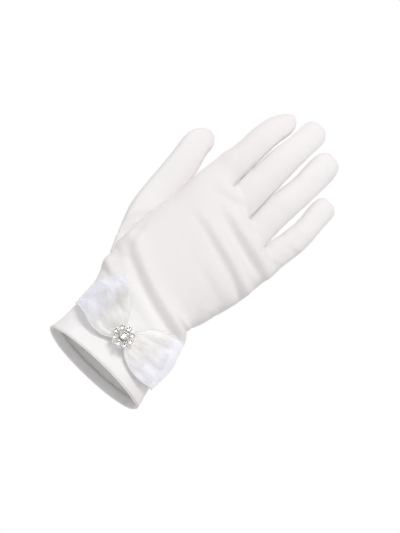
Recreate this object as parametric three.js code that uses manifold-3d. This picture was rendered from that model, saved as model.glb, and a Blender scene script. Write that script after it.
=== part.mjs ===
// Dress glove for the right hand in the form it has when worn: white satin, with a sheer ribbon bow and a
// flower of clear stones on the back of the wrist. Lengths are millimetres. The origin is the centre of
// the cuff's mouth, +Z runs to the fingertips, the back of the hand faces -Y and the thumb is at -X.
import * as THREE from "three";
import { mergeVertices } from "three/addons/utils/BufferGeometryUtils.js";
import Module from "manifold-3d";

const wasm = await Module();
wasm.setup();

// Cloth
const SATIN_WALL = 1.2;
const HEM_WALL = 1.0;
const HEM_DEPTH = 9;
const SEAM_GAP = 0.3;
const RIBBON_WALL = 1.0;

// The hand seen from the front, without its thumb: its two sides, and the depth at which they lie.
const OUTLINE = [
  { z: 0, left: -39, right: 39, edge: -9 },
  { z: 4.2, left: -37.9, right: 38.1, edge: -8.5 },
  { z: 12, left: -37.3, right: 36.2, edge: -7.5 },
  { z: 22, left: -37, right: 35, edge: -6 },
  { z: 33, left: -37.2, right: 34.8, edge: -4.5 },
  { z: 44, left: -38.6, right: 34.3, edge: -3 },
  { z: 53, left: -41, right: 31.8, edge: -2 },
  { z: 60, left: -43.3, right: 25.6, edge: -1.5 },
  { z: 67, left: -45.6, right: 29.6, edge: -1 },
  { z: 79, left: -47.6, right: 33.6, edge: 0 },
  { z: 91, left: -47.6, right: 37.6, edge: 0 },
  { z: 103, left: -44.8, right: 40, edge: 0 },
  { z: 116, left: -41.2, right: 41.5, edge: -0.5 },
  { z: 129, left: -39.8, right: 43.6, edge: -1 },
  { z: 144, left: -38.8, right: 45.8, edge: -2 },
  { z: 158, left: -36.6, right: 47, edge: -3 },
];

// The hand seen from the side: the depth of the back and of the palm along their middle, and how square a
// section is.
const PROFILE = [
  { z: 0, back: -27, palm: 27, square: 2.15 },
  { z: 12, back: -25.6, palm: 25, square: 2.2 },
  { z: 24, back: -23.8, palm: 22.4, square: 2.25 },
  { z: 36, back: -22, palm: 20, square: 2.3 },
  { z: 48, back: -20.4, palm: 18, square: 2.4 },
  { z: 60, back: -19.2, palm: 17.5, square: 2.45 },
  { z: 80, back: -17.8, palm: 17.5, square: 2.5 },
  { z: 100, back: -17.1, palm: 15, square: 2.6 },
  { z: 118, back: -17, palm: 13.5, square: 2.7 },
  { z: 132, back: -15.6, palm: 11.5, square: 2.8 },
  { z: 148, back: -12.2, palm: 6.6, square: 2.9 },
];

// Heights of the sections across the hand at x = 0, and how far each drops for a millimetre to the right.
// They lie along the folds and the row of knuckles.
const SECTIONS = [
  { z: 0, slope: 0 },
  { z: 6, slope: 0 },
  { z: 17, slope: 0.02 },
  { z: 30, slope: 0.1 },
  { z: 42.5, slope: 0.2 },
  { z: 53, slope: 0.26 },
  { z: 62, slope: 0.28 },
  { z: 71, slope: 0.28 },
  { z: 80, slope: 0.28 },
  { z: 90, slope: 0.28 },
  { z: 103, slope: 0.28 },
  { z: 116, slope: 0.29 },
  { z: 129, slope: 0.3 },
  { z: 145.5, slope: 0.33 },
];

// Where the back and the palm are divided across, from -1 at the thumb side to 1. Every second place lies
// between two fingers, or beside the outer ones.
const ACROSS = [-0.956, -0.72, -0.459, -0.198, 0.058, 0.297, 0.525, 0.774, 0.94];

// The forks between the fingers, from the index finger on.
const FORKS = [
  { x: -15.5, y: -3, z: 155 },
  { x: 6.4, y: -3, z: 145 },
  { x: 26.2, y: -2.5, z: 137.5 },
];

// Sections of each finger, then its tip.
const FINGERS = [
  {
    name: "index",
    sections: [
      { x: -25.1, y: -3, z: 165, width: 19.2 },
      { x: -24.2, y: -2, z: 179, width: 18.2 },
      { x: -22.7, y: 0, z: 193.5, width: 17 },
      { x: -20.9, y: 2.5, z: 207.5, width: 15.2 },
      { x: -18.9, y: 4.8, z: 216.5, width: 12.2 },
    ],
    tip: { x: -18.2, y: 6, z: 222 },
  },
  {
    name: "middle",
    sections: [
      { x: -4.4, y: -3, z: 160, width: 21.2 },
      { x: -3.5, y: -2, z: 176, width: 20.8 },
      { x: -2.8, y: -0.4, z: 192, width: 19.6 },
      { x: -1.7, y: 2, z: 209.5, width: 18.2 },
      { x: -0.6, y: 5, z: 224, width: 15.8 },
    ],
    tip: { x: 0, y: 6.6, z: 229.8 },
  },
  {
    name: "ring",
    sections: [
      { x: 16.7, y: -3, z: 153, width: 19 },
      { x: 17.3, y: -2, z: 168, width: 19.2 },
      { x: 18.5, y: -0.6, z: 183, width: 18.4 },
      { x: 19.3, y: 1.6, z: 199, width: 18 },
      { x: 19.7, y: 4.4, z: 214.3, width: 15.6 },
    ],
    tip: { x: 19.6, y: 5.8, z: 219.8 },
  },
  {
    name: "little",
    sections: [
      { x: 36.8, y: -2.5, z: 145, width: 17.8 },
      { x: 37.9, y: -1.8, z: 156, width: 17 },
      { x: 38.6, y: -0.6, z: 167, width: 16 },
      { x: 38.6, y: 1.6, z: 179, width: 15.4 },
      { x: 38.4, y: 3.8, z: 190.3, width: 13.4 },
    ],
    tip: { x: 38.6, y: 4.8, z: 195.6 },
  },
];
const FINGER_DEPTH_SHARE = 0.87;
const LIMB_SQUARE = 2.25;

// Sections of the thumb, which start tilted from the opening that it is sewn into, then its tip.
const THUMB = {
  sections: [
    { x: -48, y: 12, z: 101, width: 21.4, depth: 20.5, tilt: 38 },
    { x: -49.7, y: 14.2, z: 118, width: 20.6, depth: 18.8, tilt: 14 },
    { x: -50.4, y: 15, z: 143, width: 20.6, depth: 17.6, tilt: 0 },
    { x: -51.6, y: 15.8, z: 160, width: 20.2, depth: 16.4, tilt: 0 },
    { x: -52, y: 16.8, z: 172, width: 17, depth: 13.4, tilt: 0 },
  ],
  tip: { x: -50.9, y: 17.4, z: 178.2 },
};
const THUMB_FIRST_SECTION = 5;
const THUMB_LAST_SECTION = 9;

// Soft swellings of the palm side: the balls of the thumb and of the hand, the hollow between, and the
// pads under the fingers.
const PADS = [
  { name: "ball of the thumb", x: -26, z: 84, height: 4, wide: 15, tall: 20 },
  { name: "heel of the hand", x: 22, z: 82, height: 2.5, wide: 13, tall: 24 },
  { name: "hollow", x: 2, z: 100, height: -2, wide: 14, tall: 20 },
  { name: "finger pads", x: 4, z: 132, height: 1.6, wide: 34, tall: 9 },
];

// Main folds: a valley runs from a start through a middle to an end, at x and z, with a depth at each.
// The side is -1 on the back of the hand and 1 on the palm, and width is half the valley's.
const FOLDS = [
  { name: "wrist", side: -1, x: [-46, -8, 24], z: [75, 61, 52], depth: [2.2, 2.6, 2.2], width: 4.6 },
  { name: "outer wrist", side: -1, x: [12, 20, 28], z: [65, 62, 60], depth: [0.4, 1.6, 2.6], width: 3 },
  { name: "knuckles", side: -1, x: [-4, 22, 46], z: [134, 126, 125], depth: [0.6, 2.2, 1.4], width: 3.4 },
  { name: "back", side: -1, x: [-18, 10, 42], z: [122, 114, 106], depth: [0.5, 1.7, 1.1], width: 4 },
  { name: "thumb root", side: -1, x: [-44, -43, -40], z: [102, 92, 79], depth: [0.3, 1, 1.4], width: 3.6 },
  { name: "wrist side", side: -1, x: [-43, -37, -30], z: [56, 52, 50], depth: [1.8, 1.8, 0.4], width: 3 },
  { name: "palm wrist", side: 1, x: [-40, -4, 27], z: [70, 60, 58], depth: [1.2, 2, 2], width: 4.4 },
  { name: "palm line", side: 1, x: [-34, -4, 36], z: [116, 118, 128], depth: [0.6, 1.2, 0.8], width: 4 },
];
// Beside a valley the cloth rises by a share of the depth, two half widths away. A fold fades where the
// surface turns to the other side of the hand.
const FOLD_LIFT = { share: 0.45, away: 2 };
const FOLD_FADE = { gone: -0.35, whole: 0.1 };
const FOLD_STEPS = 16;
const FIT_ROUNDS = 4;

// The bow: both edges of each loop from the knot to its outer fold, how far its front stands off the
// cuff, and how far a line across it swells outward in its middle.
const BOW = {
  left: [
    { out: 0, topX: -2, topZ: 29.7, footX: -2, footZ: 19.3, lift: 3.4, swell: 0 },
    { out: 0.14, topX: -5.6, topZ: 32.6, footX: -5.6, footZ: 17.9, lift: 3.6, swell: 0 },
    { out: 0.25, topX: -10, topZ: 40.6, footX: -11, footZ: 15.2, lift: 5.4, swell: 0 },
    { out: 0.5, topX: -17, topZ: 47.7, footX: -20, footZ: 13.2, lift: 8.2, swell: 1 },
    { out: 0.75, topX: -22.6, topZ: 52.2, footX: -29, footZ: 16, lift: 7.2, swell: 3.6 },
    { out: 1, topX: -26.6, topZ: 54.4, footX: -36.2, footZ: 20.6, lift: 4.8, swell: 5 },
  ],
  right: [
    { out: 0, topX: 2, topZ: 29.7, footX: 2, footZ: 19.3, lift: 3.4, swell: 0 },
    { out: 0.14, topX: 5.6, topZ: 32, footX: 5.6, footZ: 17.7, lift: 3.6, swell: 0 },
    { out: 0.25, topX: 11, topZ: 38.4, footX: 11, footZ: 13, lift: 5.4, swell: 0 },
    { out: 0.5, topX: 17.5, topZ: 44.3, footX: 19, footZ: 9.8, lift: 8, swell: 1 },
    { out: 0.75, topX: 24, topZ: 48, footX: 28, footZ: 10.4, lift: 6.6, swell: 2.6 },
    { out: 1, topX: 30.6, topZ: 49.6, footX: 36, footZ: 14.2, lift: 4.6, swell: 3.6 },
  ],
};
const LOOP_BACK_LIFT = { atKnot: 2.1, atFold: 3 };
const LOOP_FOLD_REACH = 1.2;
const LOOP_SWELL_SKEW = 1.3;
const LOOP_FRONT_STEPS = 7;
const LOOP_BACK_STEPS = 5;
const LOOP_STEPS_ACROSS = 6;
const PLEATS = 2.5;
const PLEAT_DEPTH = 0.8;
const KNOT = {
  width: 8,
  low: 15.7,
  high: 33.3,
  nearLift: 0.3,
  farLift: 5.4,
  square: 6,
  steps: 16,
  stepsAcross: 2,
};

// The flower of stones lies on the knot and leans back a little, in degrees.
const FLOWER = { z: 22.8, lift: 5.75, lean: 8, petals: 8, ringRadius: 6, turn: 5 };
const BOSS = { radius: 3.6, base: 0, height: 1.6, sides: 8 };
const DISC = { radius: 5.6, base: 0.8, height: 0.6, sides: 8 };
const CENTRE = { stone: 5, cup: 6.2, base: 0.8, height: 2.3, claws: 4 };
const PETAL = { stone: 3.2, cup: 4.2, base: 0.8, height: 1.5, claws: 2 };
const CUP_SIDES = 8;
const CLAW = { radius: 0.4, sides: 4, rise: 0.7 };
// A cut stone's heights are shares of its width: the flat table, crown, girdle and pavilion.
const CUT = { facets: 8, table: 0.58, crown: 0.17, girdle: 0.05, pavilion: 0.34 };
const SEAT_CLEARANCE = 0.25;

// Finishes
const SATIN = { color: 0xf4f1ef, roughness: 0.55, metalness: 0 };
const ORGANZA = { color: 0xf1f0f8, roughness: 0.5, metalness: 0 };
const SILVER = { color: 0xc9c9cc, roughness: 0.22, metalness: 1 };
const CRYSTAL = { color: 0xf6fafc, roughness: 0.03, metalness: 0 };

// A smooth curve through one column of a table, read at a place given in its key column.
function readColumn(table, column, place, key = "z") {
  const last = table.length - 2;
  let row = table.findIndex((entry, k) => k > 0 && place <= entry[key]) - 1;
  if (row < 0) row = place <= table[0][key] ? 0 : last;
  const slopeAt = (k) => {
    const before = table[Math.max(k - 1, 0)];
    const after = table[Math.min(k + 1, last + 1)];
    return (after[column] - before[column]) / (after[key] - before[key]);
  };
  const start = table[row];
  const end = table[row + 1];
  const span = end[key] - start[key];
  const t = THREE.MathUtils.clamp((place - start[key]) / span, 0, 1);
  const square = t * t;
  const cube = square * t;
  return (
    (2 * cube - 3 * square + 1) * start[column] +
    (cube - 2 * square + t) * span * slopeAt(row) +
    (3 * square - 2 * cube) * end[column] +
    (cube - square) * span * slopeAt(row + 1)
  );
}

// The height that a slanted section has at its own side or middle line.
function slantedHeight(section, column) {
  let z = section.z;
  for (let round = 0; round < FIT_ROUNDS; round += 1) {
    z = section.z - section.slope * readColumn(OUTLINE, column, z);
  }
  return z;
}

// How far the soft swellings lift the palm.
function padHeight(x, z) {
  return PADS.reduce((sum, pad) => {
    const distance = ((x - pad.x) / pad.wide) ** 2 + ((z - pad.z) / pad.tall) ** 2;
    return sum + pad.height * Math.exp(-distance);
  }, 0);
}

// How far a section stands out at a share of its half width, from 1 in its middle to 0 at its sides.
function bulgeAt(share, square) {
  return Math.max(0, 1 - Math.abs(share) ** square) ** (1 / square);
}

// A point of the hand at a share across from -1 to 1, on the back (side -1) or the palm (side 1).
function handPoint(section, share, side) {
  const left = readColumn(OUTLINE, "left", slantedHeight(section, "left"));
  const right = readColumn(OUTLINE, "right", slantedHeight(section, "right"));
  const x = THREE.MathUtils.lerp(left, right, (share + 1) / 2);
  const z = section.z - section.slope * x;
  const edge = readColumn(OUTLINE, "edge", z);
  const reach = readColumn(PROFILE, side < 0 ? "back" : "palm", section.z) - edge;
  const bulge = bulgeAt(share, readColumn(PROFILE, "square", section.z));
  const pad = side > 0 ? padHeight(x, z) * bulge : 0;
  return new THREE.Vector3(x, edge + reach * bulge + pad, z);
}

// A mesh of four-sided faces, each marked with the piece that it belongs to.
class Cage {
  constructor() {
    this.points = [];
    this.faces = [];
  }

  addPoint(point) {
    return this.points.push(point) - 1;
  }

  addRing(points) {
    return points.map((point) => this.addPoint(point));
  }

  addFace(corners, piece) {
    this.faces.push({ corners, piece });
  }

  // Joins two rings with a band of faces; pieceAt gives the piece of each face, or null to leave it out.
  addBand(lower, upper, pieceAt) {
    lower.forEach((a, k) => {
      const next = (k + 1) % lower.length;
      const piece = pieceAt(k);
      if (piece) this.addFace([a, lower[next], upper[next], upper[k]], piece);
    });
  }

  addTip(ring, tip, pieceAt) {
    for (let k = 0; k < ring.length; k += 2) {
      this.addFace([tip, ring[k], ring[k + 1], ring[(k + 2) % ring.length]], pieceAt(k));
    }
  }
}

// The same faces without the points that none of them uses.
function withoutLoosePoints({ points, faces }) {
  const tidy = new Cage();
  const places = new Map();
  faces.forEach(({ corners, piece }) => {
    corners.filter((k) => !places.has(k)).forEach((k) => places.set(k, tidy.addPoint(points[k])));
    tidy.addFace(
      corners.map((k) => places.get(k)),
      piece,
    );
  });
  return tidy;
}

// For each point, the points next to it along edges, those along an open rim, and those across faces.
function surroundings(cage) {
  const around = cage.points.map(() => ({ near: new Map(), across: [] }));
  cage.faces.forEach(({ corners }) => {
    corners.forEach((point, k) => {
      const { near, across } = around[point];
      const beside = [corners[(k + 1) % 4], corners[(k + 3) % 4]];
      beside.forEach((other) => near.set(other, (near.get(other) ?? 0) + 1));
      across.push(corners[(k + 2) % 4]);
    });
  });
  return around.map(({ near, across }) => ({
    near: [...near.keys()],
    rim: [...near].filter(([, uses]) => uses === 1).map(([other]) => other),
    across,
  }));
}

// The sum of some of the points.
function sumOf(points, indices) {
  return indices.reduce((sum, k) => sum.add(points[k]), new THREE.Vector3());
}

// Where each point of the cage ends up on the smooth surface that the cage stands for.
function smoothPlaces(cage) {
  return surroundings(cage).map(({ near, rim, across }, k) => {
    const own = cage.points[k];
    if (rim.length) return own.clone().multiplyScalar(4).add(sumOf(cage.points, rim)).divideScalar(6);
    const count = near.length;
    return own
      .clone()
      .multiplyScalar(count * count)
      .add(sumOf(cage.points, near).multiplyScalar(4))
      .add(sumOf(cage.points, across))
      .divideScalar(count * (count + 5));
  });
}

// Moves the cage's points out until the smooth surface passes through where they stood.
function fitCage(cage) {
  const goals = cage.points.map((point) => point.clone());
  for (let round = 0; round < FIT_ROUNDS; round += 1) {
    smoothPlaces(cage).forEach((place, k) => cage.points[k].add(goals[k].clone().sub(place)));
  }
}

// Divides every face into four, by the rule of Catmull and Clark.
function refine(cage) {
  const fine = new Cage();
  const around = surroundings(cage);
  const centres = cage.faces.map(({ corners }) => sumOf(cage.points, corners).divideScalar(4));
  const edges = new Map();
  const edgeOf = (a, b) => {
    const key = a < b ? `${a}_${b}` : `${b}_${a}`;
    if (!edges.has(key)) edges.set(key, { ends: [a, b], faces: [] });
    return edges.get(key);
  };
  cage.faces.forEach(({ corners }, face) => {
    corners.forEach((point, k) => edgeOf(point, corners[(k + 1) % 4]).faces.push(face));
  });
  const facesAt = cage.points.map(() => []);
  cage.faces.forEach(({ corners }, face) => corners.forEach((point) => facesAt[point].push(face)));

  cage.points.forEach((own, k) => {
    const { near, rim } = around[k];
    if (rim.length) {
      fine.addPoint(own.clone().multiplyScalar(6).add(sumOf(cage.points, rim)).divideScalar(8));
      return;
    }
    const count = near.length;
    const faceMean = sumOf(centres, facesAt[k]).divideScalar(count);
    const nearMean = sumOf(cage.points, near).divideScalar(count);
    fine.addPoint(
      own
        .clone()
        .multiplyScalar(count - 2)
        .add(nearMean)
        .add(faceMean)
        .divideScalar(count),
    );
  });
  const centreAt = centres.map((centre) => fine.addPoint(centre));
  edges.forEach((edge) => {
    const middle = sumOf(cage.points, edge.ends);
    if (edge.faces.length === 2) middle.add(sumOf(centres, edge.faces)).divideScalar(4);
    else middle.divideScalar(2);
    edge.middle = fine.addPoint(middle);
  });
  cage.faces.forEach(({ corners, piece }, face) => {
    corners.forEach((point, k) => {
      const after = edgeOf(point, corners[(k + 1) % 4]).middle;
      const before = edgeOf(corners[(k + 3) % 4], point).middle;
      fine.addFace([point, after, centreAt[face], before], piece);
    });
  });
  return fine;
}

// The direction in which the surface faces at each point.
function pointNormals(cage) {
  const normals = cage.points.map(() => new THREE.Vector3());
  cage.faces.forEach(({ corners }) => {
    const [a, b, c, d] = corners.map((k) => cage.points[k]);
    const normal = c.clone().sub(a).cross(d.clone().sub(b));
    corners.forEach((k) => normals[k].add(normal));
  });
  return normals.map((normal) => normal.normalize());
}

// How far the folds push a point of the surface in.
function foldDepth(point, normal) {
  return FOLDS.reduce((sum, fold) => {
    const facing = THREE.MathUtils.smoothstep(normal.y * fold.side, FOLD_FADE.gone, FOLD_FADE.whole);
    let closest = Infinity;
    let depth = 0;
    for (let step = 0; step <= FOLD_STEPS; step += 1) {
      const t = step / FOLD_STEPS;
      const along = ([start, middle, end]) => {
        const control = 2 * middle - (start + end) / 2;
        return (1 - t) ** 2 * start + 2 * t * (1 - t) * control + t * t * end;
      };
      const distance = Math.hypot(point.x - along(fold.x), point.z - along(fold.z));
      if (distance < closest) {
        closest = distance;
        depth = along(fold.depth);
      }
    }
    const u = closest / fold.width;
    const wave = Math.exp(-u * u) - FOLD_LIFT.share * Math.exp(-((u - FOLD_LIFT.away) ** 2));
    return sum + facing * depth * wave;
  }, 0);
}

// Rings of a round limb about a middle line that rises to the tip; tilt lifts the side towards +X.
function limbRing({ x, y, z, width, depth = width * FINGER_DEPTH_SHARE, tilt = 0 }, ahead, count) {
  const along = ahead.clone().normalize();
  const across = new THREE.Vector3(0, 1, 0).cross(along).normalize();
  across.applyAxisAngle(new THREE.Vector3(0, 1, 0), -THREE.MathUtils.degToRad(tilt));
  const deep = along.clone().cross(across).normalize();
  const roundness = 2 / LIMB_SQUARE;
  return Array.from({ length: count }, (_, k) => {
    // The ring starts at the thumb side.
    const angle = Math.PI + (2 * Math.PI * k) / count;
    const c = Math.cos(angle);
    const s = Math.sin(angle);
    return new THREE.Vector3(x, y, z)
      .addScaledVector(across, (width / 2) * Math.sign(c) * Math.abs(c) ** roundness)
      .addScaledVector(deep, (depth / 2) * Math.sign(s) * Math.abs(s) ** roundness);
  });
}

// A table row's place as a vector.
function vectorOf({ x, y, z }) {
  return new THREE.Vector3(x, y, z);
}

// Adds a finger or the thumb on its base ring, up to its closed tip.
function addLimb(cage, base, { sections, tip }, pieceAt) {
  const places = [...sections, tip].map(vectorOf);
  let lower = base;
  sections.forEach((section, k) => {
    const before = places[Math.max(k - 1, 0)];
    const upper = cage.addRing(limbRing(section, places[k + 1].clone().sub(before), base.length));
    cage.addBand(lower, upper, pieceAt);
    lower = upper;
  });
  cage.addTip(lower, cage.addPoint(vectorOf(tip)), pieceAt);
}

// The whole glove as one cage. A ring across the hand starts at the thumb side, runs over the back to the
// far side and returns under the palm.
function gloveCage() {
  const cage = new Cage();
  const columns = ACROSS.length;
  const farSide = columns + 1;
  const round = 2 * columns + 2;
  const panelAt = (k) => (k < farSide ? "back_panel" : "palm_panel");
  const rings = SECTIONS.map((section) =>
    cage.addRing([
      handPoint(section, -1, -1),
      ...ACROSS.map((share) => handPoint(section, share, -1)),
      handPoint(section, 1, -1),
      ...ACROSS.toReversed().map((share) => handPoint(section, share, 1)),
    ]),
  );
  rings.slice(1).forEach((upper, k) => {
    const besideThumb = k >= THUMB_FIRST_SECTION && k < THUMB_LAST_SECTION;
    const openAt = (column) => besideThumb && column >= round - 2;
    cage.addBand(rings[k], upper, (column) => (openAt(column) ? null : panelAt(column)));
  });

  const knuckles = rings.at(-1);
  const forks = FORKS.map((fork) => cage.addPoint(vectorOf(fork)));
  FINGERS.forEach((finger, k) => {
    const back = knuckles.slice(1 + 2 * k, 4 + 2 * k);
    const palmStart = round - 3 - 2 * k;
    const palm = knuckles.slice(palmStart, palmStart + 3);
    const nearSide = k === 0 ? knuckles[0] : forks[k - 1];
    const outerSide = k === FINGERS.length - 1 ? knuckles[farSide] : forks[k];
    const base = [nearSide, ...back, outerSide, ...palm];
    addLimb(cage, base, finger, (column) => (column < 4 ? "back_panel" : "palm_panel"));
  });

  const first = rings[THUMB_FIRST_SECTION];
  const last = rings[THUMB_LAST_SECTION];
  const between = rings.slice(THUMB_FIRST_SECTION + 1, THUMB_LAST_SECTION);
  const opening = [
    first[round - 1],
    first[0],
    ...between.map((ring) => ring[0]),
    last[0],
    last[round - 1],
    last[round - 2],
    ...between.toReversed().map((ring) => ring[round - 2]),
    first[round - 2],
  ];
  addLimb(cage, opening, THUMB, () => "thumb");
  return withoutLoosePoints(cage);
}

// The glove's outer surface: its points on the smooth form, pushed in along the folds.
function gloveSurface() {
  const cage = gloveCage();
  fitCage(cage);
  const fine = refine(cage);
  fine.points = smoothPlaces(fine);
  const normals = pointNormals(fine);
  fine.points.forEach((point, k) => point.addScaledVector(normals[k], -foldDepth(point, normals[k])));
  fine.normals = pointNormals(fine);
  return fine;
}

// A wall made of some faces of a surface, from a depth under it to a greater one, drawn back a little
// from its rim.
function wallOf(surface, belongs, outerDepth, innerDepth) {
  const faces = surface.faces.filter(belongs);
  const patch = { points: surface.points, faces };
  const around = surroundings(patch);
  const place = new Map();
  const positions = [];
  const addPair = (k) => {
    if (place.has(k)) return place.get(k);
    const { near, rim, across } = around[k];
    const start = surface.points[k].clone();
    if (rim.length) {
      const within = near.filter((other) => !rim.includes(other));
      const goals = within.length ? within : across;
      const alongRim = surface.points[rim[1]].clone().sub(surface.points[rim[0]]).normalize();
      const inward = sumOf(surface.points, goals).divideScalar(goals.length).sub(start);
      inward.projectOnPlane(surface.normals[k]).projectOnPlane(alongRim);
      start.add(inward.setLength((SEAM_GAP / 2) * (within.length === 1 ? 1 : Math.SQRT2)));
    }
    [outerDepth, innerDepth].forEach((depth) => {
      positions.push(...start.clone().addScaledVector(surface.normals[k], -depth).toArray());
    });
    place.set(k, positions.length / 3 - 2);
    return place.get(k);
  };
  const triangles = [];
  const addQuad = (a, b, c, d) => triangles.push(a, b, c, a, c, d);
  const open = new Map();
  faces.forEach(({ corners }) => {
    const [a, b, c, d] = corners.map(addPair);
    addQuad(a, b, c, d);
    addQuad(a + 1, d + 1, c + 1, b + 1);
    corners.forEach((from, k) => {
      const to = corners[(k + 1) % 4];
      if (!open.delete(`${to}_${from}`)) open.set(`${from}_${to}`, [from, to]);
    });
  });
  open.forEach(([from, to]) => {
    const a = place.get(from);
    const b = place.get(to);
    addQuad(a, a + 1, b + 1, b);
  });
  return solidGeometry(positions, triangles);
}

// A geometry from numbers, three to a point and three to a triangle.
function solidGeometry(positions, triangles) {
  const geometry = new THREE.BufferGeometry();
  geometry.setAttribute("position", new THREE.Float32BufferAttribute(positions, 3));
  geometry.setIndex(triangles);
  geometry.computeVertexNormals();
  return geometry;
}

// A point over the back of the cuff, standing off it by a lift.
function overCuff(x, z, lift) {
  const left = readColumn(OUTLINE, "left", z);
  const right = readColumn(OUTLINE, "right", z);
  const edge = readColumn(OUTLINE, "edge", z);
  const share = THREE.MathUtils.clamp((x - (left + right) / 2) / ((right - left) / 2 + lift), -1, 1);
  const reach = edge - readColumn(PROFILE, "back", z) + lift;
  return new THREE.Vector3(x, edge - reach * bulgeAt(share, readColumn(PROFILE, "square", z)), z);
}

// One line of points across a loop of the bow, from its lower edge to its upper one.
function lineAcrossLoop(rows, out, lift, pleated, reach = 0) {
  const read = (column) => readColumn(rows, column, out, "out");
  const outward = Math.sign(rows.at(-1).footX);
  return Array.from({ length: LOOP_STEPS_ACROSS + 1 }, (_, k) => {
    const t = k / LOOP_STEPS_ACROSS;
    const swell = outward * (read("swell") * Math.sin(Math.PI * t ** LOOP_SWELL_SKEW) + reach);
    const pleat = PLEAT_DEPTH * Math.sin(2 * Math.PI * PLEATS * t) * Math.sin(Math.PI * out);
    const x = THREE.MathUtils.lerp(read("footX"), read("topX"), t) + swell;
    const z = THREE.MathUtils.lerp(read("footZ"), read("topZ"), t);
    return overCuff(x, z, lift + (pleated ? pleat : 0));
  });
}

// A loop's ribbon: out from the knot over the front, round the outer fold and back along the cuff.
function loopGrid(rows) {
  const steps = (count) => Array.from({ length: count + 1 }, (_, k) => k / count);
  const { atKnot, atFold } = LOOP_BACK_LIFT;
  const frontLift = (out) => readColumn(rows, "lift", out, "out");
  return [
    ...steps(LOOP_FRONT_STEPS).map((out) => lineAcrossLoop(rows, out, frontLift(out), true)),
    lineAcrossLoop(rows, 1, (frontLift(1) + atFold) / 2, false, LOOP_FOLD_REACH),
    ...steps(LOOP_BACK_STEPS).map((back) => {
      return lineAcrossLoop(rows, 1 - back, THREE.MathUtils.lerp(atFold, atKnot, back), false);
    }),
  ];
}

// The strip round the middle of the bow, as lines of points across it.
function knotGrid() {
  const { width, low, high, nearLift, farLift, square, steps, stepsAcross } = KNOT;
  const halfHigh = (high - low - RIBBON_WALL) / 2;
  const halfDeep = (farLift - nearLift - RIBBON_WALL) / 2;
  return Array.from({ length: steps }, (_, k) => {
    const angle = (2 * Math.PI * k) / steps;
    const rounded = (value) => Math.sign(value) * Math.abs(value) ** (2 / square);
    const z = (low + high) / 2 + halfHigh * rounded(Math.cos(angle));
    const lift = (nearLift + farLift) / 2 + halfDeep * rounded(Math.sin(angle));
    return Array.from({ length: stepsAcross + 1 }, (__, n) => {
      return overCuff(width * (n / stepsAcross - 0.5), z, lift);
    });
  });
}

// A sheet of even thickness about a grid of points; a ring grid joins its last line to its first.
function sheetOf(grid, wall, ring) {
  const lines = grid.length;
  const across = grid[0].length;
  const at = (line, k) => grid[(line + lines) % lines][k];
  const positions = [];
  grid.forEach((points, line) => {
    points.forEach((point, k) => {
      const before = ring ? line - 1 : Math.max(line - 1, 0);
      const after = ring ? line + 1 : Math.min(line + 1, lines - 1);
      const along = at(after, k).clone().sub(at(before, k));
      const side = at(line, Math.min(k + 1, across - 1)).clone().sub(at(line, Math.max(k - 1, 0)));
      const normal = along.cross(side).setLength(wall / 2);
      positions.push(...point.clone().add(normal).toArray(), ...point.clone().sub(normal).toArray());
    });
  });
  const triangles = [];
  const addQuad = (a, b, c, d) => triangles.push(a, b, c, a, c, d);
  const index = (line, k) => 2 * ((line % lines) * across + k);
  const bands = ring ? lines : lines - 1;
  for (let line = 0; line < bands; line += 1) {
    for (let k = 0; k < across - 1; k += 1) {
      const [a, b, c, d] = [index(line, k), index(line + 1, k), index(line + 1, k + 1), index(line, k + 1)];
      addQuad(a, b, c, d);
      addQuad(a + 1, d + 1, c + 1, b + 1);
    }
    const [first, next] = [index(line, 0), index(line + 1, 0)];
    const [last, lastNext] = [index(line, across - 1), index(line + 1, across - 1)];
    addQuad(first + 1, next + 1, next, first);
    addQuad(last, lastNext, lastNext + 1, last + 1);
  }
  if (!ring) {
    for (let k = 0; k < across - 1; k += 1) {
      const [a, b] = [index(0, k), index(0, k + 1)];
      const [c, d] = [index(lines - 1, k), index(lines - 1, k + 1)];
      addQuad(a, b, b + 1, a + 1);
      addQuad(c + 1, d + 1, d, c);
    }
  }
  return solidGeometry(positions, triangles);
}

// A stone with a flat table, a facet crown, a thin girdle and a pointed pavilion; its girdle's foot is at
// height 0.
function stoneGeometry(width, above = null) {
  const radius = width / 2;
  const rings = [
    [0, -CUT.pavilion * width],
    [radius, 0],
    [radius, CUT.girdle * width],
    [above ? radius : radius * CUT.table, above ?? (CUT.girdle + CUT.crown) * width],
    [0, above ?? (CUT.girdle + CUT.crown) * width],
  ];
  const profile = rings.map(([x, y]) => new THREE.Vector2(x, y));
  return standing(new THREE.LatheGeometry(profile, CUT.facets));
}

// Turns a form made about the Y axis so that it stands on Z.
function standing(geometry) {
  return geometry.rotateX(Math.PI / 2);
}

// A geometry as a solid that can be joined and cut.
function solidOf(geometry) {
  const bare = geometry.clone();
  bare.deleteAttribute("normal");
  bare.deleteAttribute("uv");
  const merged = mergeVertices(bare);
  return new wasm.Manifold(
    new wasm.Mesh({
      numProp: 3,
      vertProperties: Float32Array.from(merged.attributes.position.array),
      triVerts: Uint32Array.from(merged.index.array),
    }),
  );
}

// A joined solid as a geometry again.
function geometryOf(solid) {
  const { vertProperties, triVerts } = solid.getMesh();
  return solidGeometry(Array.from(vertProperties), Array.from(triVerts));
}

// An upright prism of the setting.
function post({ radius, base, height, sides }, x = 0, y = 0) {
  const cylinder = standing(new THREE.CylinderGeometry(radius, radius, height, sides));
  return cylinder.translate(x, y, base + height / 2);
}

// The middle of an outer stone's cup.
function petalPlace(k) {
  const angle = THREE.MathUtils.degToRad(FLOWER.turn) + (2 * Math.PI * k) / FLOWER.petals;
  return new THREE.Vector2(Math.cos(angle), Math.sin(angle)).multiplyScalar(FLOWER.ringRadius);
}

// The height of a stone's girdle foot in its cup.
function seatHeight({ base, height }) {
  return base + height;
}

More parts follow.
